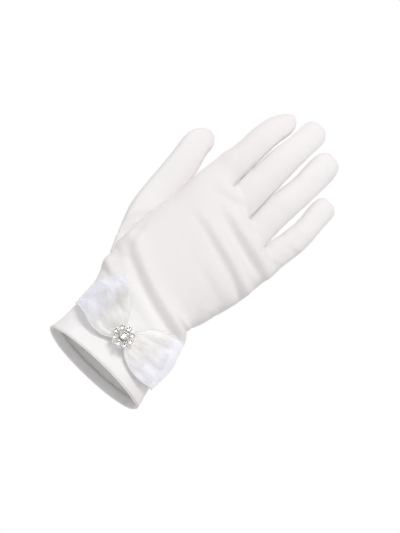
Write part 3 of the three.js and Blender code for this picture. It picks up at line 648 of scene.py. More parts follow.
@dataclass
class GloveSkin:
    """The satin: the back panel, the palm panel and the set-in thumb, with their folds and seams."""

    form: GloveForm
    wall: float = 0.9
    seam_draw: float = 0.07
    seam_roll: float = 0.22
    seam_depth: float = 0.34
    seam_half: float = 0.95
    ridge: float = 0.13
    ridge_away: float = 2.3
    pucker: float = 0.26
    pucker_size: float = 3.4
    pucker_reach: float = 3.2
    pucker_shares: Pair = (0.45, 1.0)
    gathered_from: Pair = (52, 62)
    gathered_until: Pair = (135, 120)
    gathered_side: Pair = (18, 30)
    # The depth, the size and the seed of the crumples, broad and slight.
    crumples: tuple[tuple[float, Triple, float], ...] = (
        (0.34, (24, 16, 8), 3.7), (0.13, (9, 7, 3.4), 11.3),
    )
    # How strong the crumples are all over, and how much more at the wrist, the knuckles and the cuff.
    crumple_shares: tuple[float, ...] = (0.18, 0.55, 0.35, 0.25)
    wrist: Pair = (62, 13)
    knuckles: Pair = (127, 11)
    knuckles_side: Pair = (-20, 20)
    cuff_top: float = 30.0
    fork_pleat: float = 0.26
    fork_pleats: float = 9.0
    fork_pleats_at: Pair = (5, 3.6)
    fork_pleats_below: Pair = (-3, 2)
    fork_shares: Pair = (0.7, 0.5)
    slant: float = 0.28
    mouth_plain: float = 3.0
    surface: Surface = field(init=False)

    @staticmethod
    def fold_height(points: Array, normals: Array, fold: Lap | Crease) -> Array:
        """Returns how far a fold raises each point."""
        t = np.linspace(0, 1, FOLD_STEPS)
        line = np.stack([through(fold.x, t), through(fold.z, t)], axis=-1)
        ahead = unit(np.gradient(line, axis=0))
        reach = fold.reach()
        flat = points[:, (0, 2)]
        inside = np.all((flat > line.min(0) - reach) & (flat < line.max(0) + reach), axis=1)
        inside &= normals[:, 1] * fold.side.value > FOLD_FADE[0]
        chosen = np.flatnonzero(inside)
        closest = np.linalg.norm(flat[chosen, None] - line, axis=-1).argmin(1)
        apart = flat[chosen] - line[closest]
        along = ahead[closest]
        away = apart[:, 1] * along[:, 0] - apart[:, 0] * along[:, 1]
        past = (apart * along).sum(1) / FOLD_END
        facing = smoothstep(normals[chosen, 1] * fold.side.value, *FOLD_FADE)
        height = np.zeros(len(points))
        height[chosen] = facing * fold.height(away, t[closest]) * np.exp(-(past**2))
        return height

    def crumple_depth(self, points: Array) -> Array:
        """Returns slight waves that run along the folds, strongest at the wrist and knuckles."""
        x, y, z = points.T
        up = z + self.slant * x
        all_over, at_wrist, at_knuckles, at_cuff = self.crumple_shares
        knuckles = bell(up, *self.knuckles) * smoothstep(x, *self.knuckles_side)
        strength = (
            all_over + at_wrist * bell(up, *self.wrist) + at_knuckles * knuckles
            + at_cuff * smoothstep(z, self.cuff_top, 0)
        )
        along = np.stack([x - self.slant * z, y, up], axis=-1)
        return strength * sum(depth * grain(along, size, seed) for depth, size, seed in self.crumples)

    def seam_shape(self, surface: Surface) -> Array:
        """Returns the groove along every seam, the slight rise beside it and its puckers."""
        owners = np.full(len(surface.points), -1)
        shared = np.zeros(len(surface.points), bool)
        for piece in (cloth.value for cloth in Cloth):
            own = np.unique(surface.faces[surface.pieces == piece])
            shared[own[owners[own] >= 0]] = True
            owners[own] = piece
        tree = KDTree(int(shared.sum()))
        for number, place in enumerate(surface.points[shared]):
            tree.insert(place, number)
        tree.balance()
        away = np.array([tree.find(place)[2] for place in surface.points])
        x, _, z = surface.points.T
        gathered = smoothstep(x, *self.gathered_side) * smoothstep(z, *self.gathered_from)
        gathered *= smoothstep(z, *self.gathered_until)
        everywhere, more = self.pucker_shares
        puckers = grain(surface.points, (self.pucker_size,) * 3, 21.1) * (everywhere + more * gathered)
        groove = self.seam_depth * bell(away, 0, self.seam_half)
        ridge = self.ridge * bell(away, self.ridge_away)
        return groove - ridge + self.pucker * puckers * bell(away, 0, self.pucker_reach)

    def fork_depth(self, points: Array) -> Array:
        """Returns short pleats that fan out below each fork between two fingers."""
        depth = np.zeros(len(points))
        x, _, z = points.T
        first, more = self.fork_shares
        for k, (fork_x, _, fork_z) in enumerate(FORKS):
            down, beside = fork_z - z, x - fork_x
            angle, reach = np.arctan2(beside, down), np.hypot(down, beside)
            fan = np.cos(self.fork_pleats * angle + k) * bell(reach, *self.fork_pleats_at)
            depth += self.fork_pleat * (first + more * k) * fan * smoothstep(down, *self.fork_pleats_below)
        return depth

    def build_surface(self) -> None:
        """Presses the folds, crumples, pleats and seams into the smooth form."""
        surface = self.form.smooth_surface()
        normals = surface.normals()
        depth = self.crumple_depth(surface.points) + self.fork_depth(surface.points)
        for fold in LAPS + CREASES:
            depth -= self.fold_height(surface.points, normals, fold)
        depth += self.seam_shape(surface)
        mouth = smoothstep(surface.points[:, 2], self.mouth_plain, 0)
        surface.points -= normals * (depth * (1 - mouth))[:, None]
        for touch in TOUCHES:
            self.press(surface.points, normals, touch)
        self.draw_outline(surface.points)
        self.surface = surface

    def draw_outline(self, points: Array) -> None:
        """Draws the outline in at its pinches and arches the back of the cuff's mouth."""
        x, y, z = points.T
        left, right = self.form.left(z), self.form.right(z)
        share = np.clip((2 * x - left - right) / (right - left), -1, 1)
        moved = np.zeros(len(points))
        for pinch in PINCHES:
            near = bell(z, pinch.z, pinch.breadth) * smoothstep(share * pinch.toward, *PINCH_EDGE)
            moved -= pinch.toward * pinch.draw * near
        arch = MOUTH_ARCH * (1 - share**2) * smoothstep(z, MOUTH_ARCH_TOP, 0)
        points[:, 0] += moved
        points[:, 2] += arch * smoothstep(-y, *MOUTH_ARCH_BACK)

    @staticmethod
    def press(points: Array, normals: Array, touch: Touch) -> None:
        """Flattens two fingers against each other."""
        low, high = touch.z
        middle = through(touch.x, (points[:, 2] - low) / (high - low))
        near = (np.abs(points[:, 0] - middle) < touch.near) & (points[:, 2] > low) & (points[:, 2] < high)
        for side in (-1, 1):
            facing = near & (normals[:, 0] * -side > TOUCH_FACING)
            limit = middle[facing] + side * touch.gap / 2
            points[facing, 0] = np.maximum(points[facing, 0] * side, limit * side) * side

    def build_piece(self, cloth: Cloth) -> Object:
        """Returns one satin piece as a closed wall, its edges drawn back and rolled in at the seams."""
        points, normals = self.surface.points, self.surface.normals()
        faces = self.surface.faces[self.surface.pieces == cloth.value]
        used, numbers = np.unique(faces, return_inverse=True)
        faces = numbers.reshape(-1, 4)
        outer, facing = points[used].copy(), normals[used]
        rim = open_edges(faces)
        inward, along = np.zeros_like(outer), np.zeros_like(outer)
        np.add.at(inward, faces.T, outer[faces].mean(axis=1) - outer[faces.T])
        for start, end in rim:
            along[[start, end]] += outer[end] - outer[start]
        border = np.unique(rim)
        along, inward = unit(along[border]), inward[border]
        for direction in (facing[border], along):
            inward -= direction * (inward * direction).sum(1, keepdims=True)
        at_mouth = outer[border, 2] < MOUTH_EDGE
        roll = np.where(at_mouth, 0, self.seam_roll)[:, None]
        outer[border] += unit(inward) * self.seam_draw - facing[border] * roll
        inner = outer - facing * self.wall
        count = len(outer)
        sides = [(start, start + count, end + count, end) for start, end in rim]
        closed = np.concatenate([faces, faces[:, ::-1] + count, np.array(sides)])
        return make_object(f"{cloth.name.lower()}_satin", np.concatenate([outer, inner]), closed)

    def mouth_loop(self) -> tuple[Array, Array]:
        """Returns the points round the cuff's mouth in order, and the way the cloth faces there."""
        follow = dict(open_edges(self.surface.faces))
        loop = [next(iter(sorted(follow)))]
        while follow[loop[-1]] != loop[0]:
            loop.append(follow[loop[-1]])
        return self.surface.points[loop], self.surface.normals()[loop]


@dataclass
class CuffHem:
    """The folded edge of the cuff: a rounded lip under the panels and the band turned up inside."""

    skin: GloveSkin
    # The section of the folded edge: depth in from the outer face, and height above the mouth.
    section: tuple[Pair, ...] = (
        (0.12, -0.1), (-0.02, -0.34), (0.1, -0.62), (0.45, -0.8), (1.0, -0.84), (1.55, -0.7), (1.95, -0.35),
        (2.1, 0.2), (2.12, 2), (2.05, 4), (2.0, 5.9), (1.75, 6.15), (1.4, 6.1), (1.2, 5.8), (1.14, 3.5),
        (1.12, 1.2), (1.1, 0.05), (0.7, -0.12),
    )
    wave: float = 0.16
    wave_size: float = 9.0
    wave_full_at: float = 6.0

    def build(self) -> Object:
        """Returns the hem as one closed ring."""
        loop, facing = self.skin.mouth_loop()
        upward = unit(np.array((0.0, 0.0, 1.0)) - facing * facing[:, 2:])
        sway = self.wave * grain(loop, (self.wave_size,) * 3, 5.5)
        lines = [
            [place - face * (deep + lean * max(high, 0) / self.wave_full_at) + up * high
             for deep, high in self.section]
            for place, face, up, lean in zip(loop, facing, upward, sway)
        ]
        faces = grid_faces(len(loop), len(self.section), True, True)
        return make_object("cuff_hem_band", np.array(lines).reshape(-1, 3), faces)


def steps_along(points: Array, ring: bool) -> Array:
    """Returns the way from the point before each one to the point after it."""
    ahead = np.roll(points, -1, 0) - np.roll(points, 1, 0)
    if not ring:
        ahead[0], ahead[-1] = points[1] - points[0], points[-1] - points[-2]
    return ahead


def grid_normals(grid: Array, ring: bool) -> Array:
    """Returns the way a grid of points faces at each of them."""
    side = steps_along(grid.swapaxes(0, 1), False).swapaxes(0, 1)
    return unit(np.cross(steps_along(grid, ring), side))


def cord_along(path: Array, radius: float, sides: int, ring: bool) -> tuple[Array, Array]:
    """Returns the points and faces of a round cord along a path, a ring or closed at its ends."""
    ahead = unit(steps_along(path, ring))
    across = unit(np.cross(ahead, np.broadcast_to((0.0, 1.0, 0.001), ahead.shape)))
    other = np.cross(ahead, across)
    angles = angles_round(sides)[None, :, None]
    circle = across[:, None] * np.cos(angles) + other[:, None] * np.sin(angles)
    points = (path[:, None] + radius * circle).reshape(-1, 3)
    faces = grid_faces(len(path), sides, ring, True)[:, ::-1]
    if ring:
        return points, faces
    middles = np.stack([path[0] - ahead[0] * radius / 2, path[-1] + ahead[-1] * radius / 2])
    first, start = len(points), len(points) - sides
    pairs = [(k, (k + 1) % sides) for k in range(sides)]
    caps = [(first, a, b, b) for a, b in pairs]
    caps += [(first + 1, start + b, start + a, start + a) for a, b in pairs]
    return np.concatenate([points, middles]), np.concatenate([faces, np.array(caps)])


@dataclass(frozen=True)
class Ribbon:
    """A ribbon's flat width and thickness, with the cord that is woven into each of its sides."""

    width: float
    wall: float
    edge_radius: float
    edge_sides: int

    def build(self, name: str, grid: Array, ring: bool) -> Object:
        """Makes the ribbon with an even thickness about a grid of points.

        Args:
            name: the object's name.
            grid: lines of points across the ribbon.
            ring: whether the last line joins the first.

        Returns:
            The object; its first material slot is for the ribbon, its second for the cords.
        """
        lines, across = grid.shape[:2]
        half = grid_normals(grid, ring) * self.wall / 2
        points = np.concatenate([grid + half, (grid - half)[:, ::-1]], axis=1).reshape(-1, 3)
        faces = [grid_faces(lines, 2 * across, ring, True)]
        if not ring:
            k = np.arange(across - 1)
            end = np.stack([k, k + 1, 2 * across - 2 - k, 2 * across - 1 - k], axis=-1)
            faces += [end, end[:, ::-1] + (lines - 1) * 2 * across]
        steps = np.linalg.norm(np.diff(grid[:, across // 2], axis=0), axis=1)
        length, place = np.concatenate([[0], np.cumsum(steps)]), np.linspace(0, self.width, across)
        flat = np.broadcast_arrays(length[:, None], np.concatenate([place, place[::-1]])[None, :])
        uvs = [np.stack(flat, axis=-1).reshape(-1, 2)]
        ribbon_faces = sum(map(len, faces))
        for side in (0, across - 1):
            cord, cord_faces = cord_along(grid[:, side], self.edge_radius, self.edge_sides, ring)
            faces.append(cord_faces + len(points))
            points = np.concatenate([points, cord])
            uvs.append(np.zeros((len(cord), 2)))
        every = [tuple(dict.fromkeys(map(int, face))) for part in faces for face in part]
        made = make_object(name, points, every, np.concatenate(uvs))
        slots = np.arange(len(made.data.polygons)) >= ribbon_faces
        made.data.polygons.foreach_set("material_index", slots.astype(int))
        return made


@dataclass(frozen=True)
class LoopLine:
    """A line across a loop of the bow: both ends, how far it stands off the cuff and swells outward.

    foot_lift is how far its lower end stands off the cuff, and drop is how far the front layer's upper
    edge lies below the back layer's.
    """

    out: float
    top_x: float
    top_z: float
    foot_x: float
    foot_z: float
    lift: float
    foot_lift: float
    swell: float
    drop: float = 0.0


LEFT_LOOP = tuple(LoopLine(*row) for row in (
    (0, -2, 30.6, -2, 19.3, 3.4, 3.4, 0),
    (0.14, -5.4, 35.4, -5.6, 18, 3.6, 3.2, 0),
    (0.25, -9.2, 42, -11, 15.4, 5.4, 2.8, 0),
    (0.5, -16.2, 48.4, -20, 14.7, 7.8, 4.8, 1),
    (0.75, -22, 53.1, -29, 17.5, 8.2, 7.8, 3.2, 0.6),
    (1, -27.4, 56, -36.8, 21.3, 5.2, 3.4, 5.6, 1.4),
))
RIGHT_LOOP = tuple(LoopLine(*row) for row in (
    (0, 2, 30.4, 2, 19.3, 3.4, 3.4, 0),
    (0.14, 5.4, 34, 5.6, 18, 3.6, 2.9, 0),
    (0.25, 10, 40.6, 11, 14, 5.4, 2.4, 0),
    (0.5, 17.2, 45, 19, 11.3, 8, 2.6, 1),
    (0.75, 24, 48.8, 28, 11, 6.8, 4.4, 2.6, 0.5),
    (1, 31.2, 51, 36.2, 13.8, 5, 3.8, 3.6, 1),
))
LEFT_PUFFS = tuple(Swell(*row) for row in (
    (-12.5, 26.5, 3, 4.6, 4.2), (-21.5, 30, -1.4, 2.6, 8), (-13, 36.5, -1.2, 5, 2.4),
    (-27, 31, 0.8, 3, 12), (-32, 24, -0.7, 2.4, 7),
))
RIGHT_PUFFS = tuple(Swell(*row) for row in (
    (14, 30, 1.3, 6, 2.4), (13, 24.5, -1.0, 5, 1.8), (14, 19, 1.0, 4, 2.6),
    (23, 27, -1.1, 3, 9), (29, 30, 0.9, 3, 11), (20, 36, 0.6, 3, 4),
))


@dataclass
class RibbonLoop:
    """One loop of the bow: sheer ribbon over the front, round a fold and back along the cuff."""

    form: GloveForm
    name: str
    lines: tuple[LoopLine, ...]
    puffs: tuple[Swell, ...]
    phase: float
    ribbon: Ribbon = Ribbon(38.0, 0.24, 0.42, 8)
    back_lift_at_knot: float = 2.1
    back_lift_at_fold: float = 3.0
    layers_apart: float = 0.85
    foot_reach: float = 0.45
    slack_from: float = 2.4
    least_slack: float = 0.5
    fold_reach: float = 1.2
    corner: float = 0.54
    corner_sharp: float = 5.0
    front_steps: int = 64
    fold_steps: int = 10
    back_steps: int = 36
    steps_across: int = 64
    # How many pleats lie across the ribbon, and how deep they are.
    pleats: Pair = (2.5, 0.8)
    fine_pleats: Pair = (4.6, 0.32)
    back_pleats: Pair = (1.6, 0.25)
    gathers: Pair = (7.0, 0.4)
    pleat_sway: float = 0.4
    fine_pleat_slant: float = 0.5
    gather_reach: float = 0.3
    back_gather_share: float = 0.5
    sway: float = 0.08
    sway_turn: float = 5.0
    # The depth and the size of the crumples, broad and slight.
    crumples: tuple[tuple[float, Triple], ...] = (
        (0.26, (6.5, 30, 9)), (0.16, (3.2, 30, 3.8)),
    )

    def columns(self) -> dict[str, SmoothColumn]:
        """Returns the table's columns as smooth curves along the loop."""
        names = ("top_x", "top_z", "foot_x", "foot_z", "lift", "foot_lift", "swell", "drop")
        return {name: SmoothColumn(self.lines, name, "out") for name in names}

    def across(self) -> Array:
        """Returns the places across the ribbon, from 0 at its lower edge to 1."""
        return np.linspace(0, 1, self.steps_across + 1)[None, :]

    def front_lift(self, out: Array) -> Array:
        """Returns how far the front layer stands off the cuff, for each line and place across it."""
        column = self.columns()
        foot, lift = column["foot_lift"](out)[:, None], column["lift"](out)[:, None]
        return foot + (lift - foot) * np.sin(math.pi / 2 * np.clip(self.across() / self.foot_reach, 0, 1))

    def back_lift(self, out: Array) -> Array:
        """Returns how far the back layer stands off the cuff, always under the front layer."""
        even = self.back_lift_at_knot + (self.back_lift_at_fold - self.back_lift_at_knot) * out
        return np.minimum(even[:, None], self.front_lift(out) - self.layers_apart)

    def swell(self, t: Array) -> Array:
        """Returns how far the loop swells outward, from 0 at both edges to nearly 1 at its corner."""
        rise, fall = t / self.corner, (1 - t) / (1 - self.corner)
        power = self.corner_sharp
        return rise * fall / (rise**power + fall**power) ** (1 / power)

    def fold_height(self, t: Array, along: Array, front: bool) -> Array:
        """Returns the height of the gathers and pleats.

        Args:
            t: places across the ribbon.
            along: places from 0 at the knot to 1 at the fold.
            front: whether the layer is the front one.
        """
        fade = np.sin(math.pi * along)
        sway = self.sway * np.sin(self.sway_turn * along + self.phase)
        count, depth = self.gathers
        gathers = depth * np.exp(-along / self.gather_reach) * waves(count * (t + sway) + self.phase)
        if not front:
            count, depth = self.back_pleats
            return gathers * self.back_gather_share + depth * waves(count * t + self.phase) * fade
        (count, depth), (fine_count, fine_depth) = self.pleats, self.fine_pleats
        pleats = depth * waves(count * (t + self.pleat_sway * sway))
        fine = waves(fine_count * t - self.fine_pleat_slant * along + self.phase)
        return gathers + pleats * fade + fine_depth * fine * fade

    def layer(self, out: Array, lift: Array, reach: Array | float, drop: Array | float,
              front: bool) -> Array:
        """Returns the points of part of the ribbon.

        Args:
            out: how far along the loop each line lies, from 0 at the knot to 1 at the fold.
            lift: how far each point stands off the cuff, before the pleats.
            reach: how far each line lies outside the table's outline.
            drop: how much of the upper edge's drop each line takes.
            front: whether the pleats and puffs of the front layer are added.
        """
        read = {name: curve(out)[:, None] for name, curve in self.columns().items()}
        t, along = self.across(), out[:, None]
        outward = math.copysign(1, self.lines[-1].foot_x)
        x = read["foot_x"] + (read["top_x"] - read["foot_x"]) * t
        z = read["foot_z"] + (read["top_z"] - drop * read["drop"] - read["foot_z"]) * t
        x = x + outward * (read["swell"] * self.swell(t) + reach)
        height = self.fold_height(t, along, front)
        if front:
            height = height + sum(puff.at(x, z) for puff in self.puffs)
        slack = np.clip(lift / self.slack_from, self.least_slack, 1)
        height = lift + slack * height
        places = self.form.over_cuff(x, z, height).reshape(-1, 3)
        crumple = sum(depth * grain(places, size, self.phase * 10) for depth, size in self.crumples)
        height = height + slack * crumple.reshape(x.shape) * np.sqrt(np.clip(along, 0, 1))
        return self.form.over_cuff(x, z, height)

    def build_grid(self) -> Array:
        """Returns the ribbon's middle face as lines of points across it."""
        front = np.linspace(0, 1, self.front_steps + 1)
        turn = np.linspace(0, math.pi, self.fold_steps + 2)[1:-1, None]
        back = np.linspace(1, 0, self.back_steps + 1)
        outer, inner = self.front_lift(np.ones(1)), self.back_lift(np.ones(1))
        round_fold = (outer + inner) / 2 + (outer - inner) / 2 * np.cos(turn)
        out, drop = np.ones(len(turn)), (1 + np.cos(turn)) / 2
        return np.concatenate([
            self.layer(front, self.front_lift(front), 0.0, 1.0, True),
            self.layer(out, round_fold, self.fold_reach * np.sin(turn), drop, False),
            self.layer(back, self.back_lift(back), 0.0, 0.0, False),
        ])

    def build(self) -> Object:
        """Returns the loop, with the cords that are woven into both of its sides."""
        return self.ribbon.build(self.name, self.build_grid(), False)


@dataclass
class BowKnot:
    """The strip of ribbon that wraps the middle of the bow, creased lengthwise by its gathers."""

    form: GloveForm
    ribbon: Ribbon = Ribbon(8.0, 0.26, 0.2, 6)
    low: float = 15.7
    high: float = 33.3
    near_lift: float = 0.3
    far_lift: float = 5.4
    square: float = 6.0
    ribbon_wall: float = 1.0
    steps: int = 112
    steps_across: int = 40
    creases: float = 4.5
    crease_depth: float = 0.26
    crease_sway: float = 0.15
    least_crease: float = -0.3
    least_lift: float = 0.65
    waist: float = 0.12

    def build(self) -> Object:
        """Returns the knot."""
        half_high = (self.high - self.low - self.ribbon_wall) / 2
        half_deep = (self.far_lift - self.near_lift - self.ribbon_wall) / 2
        angles = angles_round(self.steps)[:, None]
        upward, forward = squared_circle(angles, self.square)
        n = np.linspace(-0.5, 0.5, self.steps_across + 1)[None, :]
        narrow = 1 - self.waist * np.clip(np.sin(angles), 0, 1)
        turns = self.creases * n + self.crease_sway * np.sin(2 * angles)
        crease = self.crease_depth * np.cos(2 * math.pi * turns)
        z = (self.low + self.high) / 2 + half_high * upward * (1 - crease / half_high)
        lift = (self.near_lift + self.far_lift) / 2 + half_deep * forward
        lift = lift + crease * np.clip(forward, self.least_crease, 1)
        x, z, lift = np.broadcast_arrays(self.ribbon.width * n * narrow, z, lift)
        grid = self.form.over_cuff(x, z, np.maximum(lift, self.least_lift))
        return self.ribbon.build("knot_ribbon", grid, True)


@dataclass(frozen=True)
class Cut:
    """A brilliant cut, as shares of the stone's width; star and belt give a radius and a height."""

    table: float = 0.56
    crown: float = 0.16
    girdle: float = 0.04
    pavilion: float = 0.36
    star: Pair = (0.78, 0.62)
    belt: Pair = (0.54, 0.52)
    sides: int = 8

    def points(self, width: float) -> list[Triple]:
        """Returns the corners of a stone whose girdle's foot is at height 0."""
        (star, star_height), (belt, belt_height) = self.star, self.belt
        circles = (
            (self.table, self.girdle + self.crown, 1, 0),
            (star, self.girdle + self.crown * star_height, 1, 0.5),
            (1, self.girdle, 2, 0),
            (1, 0, 2, 0),
            (belt, -self.pavilion * belt_height, 1, 0.5),
        )
        corners = [
            (*polar(width / 2 * share, angle), height * width)
            for share, height, times, start in circles
            for angle in angles_round(self.sides * times, start)
        ]
        return corners + [(0.0, 0.0, -self.pavilion * width)]


@dataclass(frozen=True)
class Seat:
    """A stone's place in the flower, in the flower's own frame."""

    x: float
    y: float
    height: float
    stone: float
    claws: int
    turn: float
    node: str


@dataclass
class StoneFlower:
    """The flower on the knot: a scalloped plate with a collet and claws round every stone."""

    form: GloveForm
    cut: Cut = Cut()
    z: float = 22.8
    lift: float = 5.75
    lean: float = 8.0
    petals: int = 8
    ring_radius: float = 6.0
    turn: float = 5.0
    centre_stone: float = 5.0
    centre_claws: int = 8
    petal_stone: float = 3.2
    petal_claws: int = 4
    centre_height: float = 3.1
    petal_height: float = 2.3
    plate_base: float = 0.5
    plate_wall: float = 0.55
    plate_inner: float = 1.9
    plate_outer: float = 5.9
    plate_lobe: float = 1.3
    plate_steps: int = 10
    # The radius and height of the post under the plate, round its section.
    post: tuple[Pair, ...] = (
        (0.05, 0.7), (2.6, 0.7), (2.6, 0.06), (2.4, -0.05), (0.05, -0.05),
    )
    post_steps: int = 32
    collet_bore: float = 0.06
    collet_gap: float = 0.08
    collet_wall: float = 0.26
    collet_rise: float = 0.12
    collet_steps: int = 28
    # Painted reflection: from this side of the collet's profile on, the outer stones' cups take the
    # near-black second material.
    painted_dark_side: int = 7
    # Each place on a claw: out from the stone's side, above the girdle, above that again as a share of
    # the claw's rise, and the claw's breadth as a share. Its foot is measured above the plate.
    claw_foot: Triple = (0.3, 0.2, 0.8)
    claw_path: tuple[tuple[float, ...], ...] = (
        (0.36, -0.3, 0, 0.95), (0.32, 0, 0.6, 1), (0.16, 0, 1.05, 1), (-0.12, 0, 1.25, 0.9),
        (-0.32, 0, 1.22, 0.62), (-0.42, 0, 1.12, 0.2),
    )
    claw_rise: float = 0.2
    claw_radius: float = 0.3
    claw_sides: int = 10
    beads: int = 18
    bead_ring: float = 3.62
    bead_radius: float = 0.5
    bead_height: float = 1.75

    def seats(self) -> list[Seat]:
        """Returns the middle stone's seat and those of the ring."""
        found = [Seat(0, 0, self.centre_height, self.centre_stone, self.centre_claws, 0.0, "centre_stone")]
        for k, step in enumerate(angles_round(self.petals)):
            angle = math.radians(self.turn) + step
            found.append(Seat(*polar(self.ring_radius, angle), self.petal_height, self.petal_stone,
                              self.petal_claws, angle + math.pi / self.petal_claws, f"outer_stone_{k + 1}"))
        return found

    def frame(self) -> Matrix:
        """Returns the flower's place and lean on the bow, in millimetres."""
        place = self.form.over_cuff(np.array(0.0), np.array(self.z), np.array(self.lift))
        return Matrix.Translation(Vector(place)) @ Matrix.Rotation(math.radians(90 - self.lean), 4, "X")

    def placed(self, mesh: Build, name: str) -> Object:
        """Turns a mesh in the flower's frame into an object in the scene."""
        bmesh.ops.transform(mesh, matrix=Matrix.Scale(MM, 4) @ self.frame(), verts=mesh.verts)
        bmesh.ops.recalc_face_normals(mesh, faces=mesh.faces)
        return object_from(mesh, name)

    def build_stone(self, seat: Seat) -> Object:
        """Returns one cut stone with flat facets."""
        mesh = bmesh.new()
        for x, y, z in self.cut.points(seat.stone):
            mesh.verts.new((seat.x + x, seat.y + y, seat.height + z))
        made = bmesh.ops.convex_hull(mesh, input=mesh.verts)
        loose = [part for part in made["geom_interior"] if isinstance(part, bmesh.types.BMVert)]
        bmesh.ops.delete(mesh, geom=loose, context="VERTS")
        bmesh.ops.dissolve_limit(mesh, angle_limit=math.radians(1), verts=mesh.verts, edges=mesh.edges)
        return self.placed(mesh, f"{seat.node}_cut")

    @staticmethod
    def join_rings(mesh: Build, rings: Sequence[Sequence[bmesh.types.BMVert]],
                   painted_dark_from: int | None = None, open_row: bool = False) -> None:
        """Joins each ring of points to the next, and the last to the first.

        Args:
            mesh: takes the faces.
            rings: the points of each ring.
            painted_dark_from: the first side of the rings that takes the second material.
            open_row: whether the first and the last ring are filled instead of joined.
        """
        for ring, follow in zip(rings, rings[1:] if open_row else [*rings[1:], rings[0]]):
            for n, point in enumerate(ring):
                beside = (n + 1) % len(ring)
                made = mesh.faces.new((point, follow[n], follow[beside], ring[beside]))
                made.material_index = int(painted_dark_from is not None and n >= painted_dark_from)
        if open_row:
            mesh.faces.new(rings[0])
            mesh.faces.new(rings[-1][::-1])

    def lathe(self, mesh: Build, profile: Sequence[Pair], steps: int, place: Pair,
              painted_dark_from: int | None = None) -> None:
        """Adds a closed ring turned from a closed profile of radii and heights about an upright axis.

        Args:
            mesh: takes the ring.
            profile: the radii and heights.
            steps: how many steps the ring is turned in.
            place: where the axis stands.
            painted_dark_from: the first side of the profile that takes the second material.
        """
        rings = [
            [mesh.verts.new((*polar(radius, angle, place), z)) for radius, z in profile]
            for angle in angles_round(steps)
        ]
        self.join_rings(mesh, rings, painted_dark_from)

    def add_collet(self, mesh: Build, seat: Seat) -> None:
        """Adds the flared cup that holds a stone, hollow above its floor."""
        half, base, rim = seat.stone / 2, self.plate_base, seat.height
        top, inner = rim + self.collet_rise * seat.stone, half + self.collet_gap
        outer = inner + self.collet_wall
        profile = [
            (self.collet_bore, base), (half * 0.72, base), (half * 0.8, base + 0.35),
            (outer - 0.06, rim - 0.2), (outer, rim + 0.05), (outer - 0.04, top - 0.12), (inner + 0.1, top),
            (inner, top - 0.08), (inner, rim - 0.06), (half * 0.5, rim - 0.44 * half),
            (self.collet_bore, rim - 0.8 * half),
        ]
        # Painted reflection: only the outer stones' cups are painted near-black inside.
        painted_dark_from = self.painted_dark_side if seat.height < self.centre_height else None
        self.lathe(mesh, profile, self.collet_steps, (seat.x, seat.y), painted_dark_from)

    def add_claw(self, mesh: Build, seat: Seat, angle: float) -> None:
        """Adds one claw: up the collet's wall and bent over the girdle to a rounded tip."""
        half, rise = seat.stone / 2, seat.stone * self.claw_rise
        out, above, broad = self.claw_foot
        path = [(half + out, self.plate_base + above, broad)]
        path += [(half + out, seat.height + above + rise * share, broad)
                 for out, above, share, broad in self.claw_path]
        upward = Vector((0, 0, 1))
        outward = Vector((*polar(1, angle), 0))
        beside = upward.cross(outward)
        middle = Vector((seat.x, seat.y, 0))
        rings = []
        for k, (reach, height, share) in enumerate(path):
            before, after = path[max(k - 1, 0)], path[min(k + 1, len(path) - 1)]
            ahead = (outward * (after[0] - before[0]) + upward * (after[1] - before[1])).normalized()
            across = ahead.cross(beside)
            centre = middle + outward * reach + upward * height
            radius = self.claw_radius * share
            rings.append([
                mesh.verts.new(centre + radius * (beside * math.cos(a) + across * math.sin(a)))
                for a in angles_round(self.claw_sides)
            ])
        self.join_rings(mesh, rings, open_row=True)

    def add_beads(self, mesh: Build) -> None:
        """Adds the ring of small beads between the middle stone and the petals."""
        for angle in angles_round(self.beads):
            place = Matrix.Translation((*polar(self.bead_ring, angle), self.bead_height))
            bmesh.ops.create_icosphere(mesh, subdivisions=2, radius=self.bead_radius, matrix=place)

    def add_plate(self, mesh: Build) -> None:
        """Adds the scalloped plate, with a lobe under each petal and open in its middle."""
        angles = angles_round(self.petals * self.plate_steps)
        outer = self.plate_outer + self.plate_lobe * (0.5 + 0.5 * np.cos(self.petals * angles))
        inner = np.full_like(outer, self.plate_inner)
        low, high = self.plate_base, self.plate_base + self.plate_wall
        rings = [
            [mesh.verts.new((*polar(radius, angle), height))
             for radius, angle in zip(radii, angles + math.radians(self.turn))]
            for radii, height in ((inner, high), (outer, high), (outer, low), (inner, low))
        ]
        self.join_rings(mesh, rings)

    def build_setting(self) -> Object:
        """Returns the cast setting with every collet and claw."""
        mesh = bmesh.new()
        self.add_plate(mesh)
        self.add_beads(mesh)
        for seat in self.seats():
            self.add_collet(mesh, seat)
            for step in angles_round(seat.claws):
                self.add_claw(mesh, seat, seat.turn + step)
        self.lathe(mesh, self.post, self.post_steps, (0.0, 0.0))
        setting = self.placed(mesh, "flower_setting")
        setting.data.shade_smooth()
        return setting


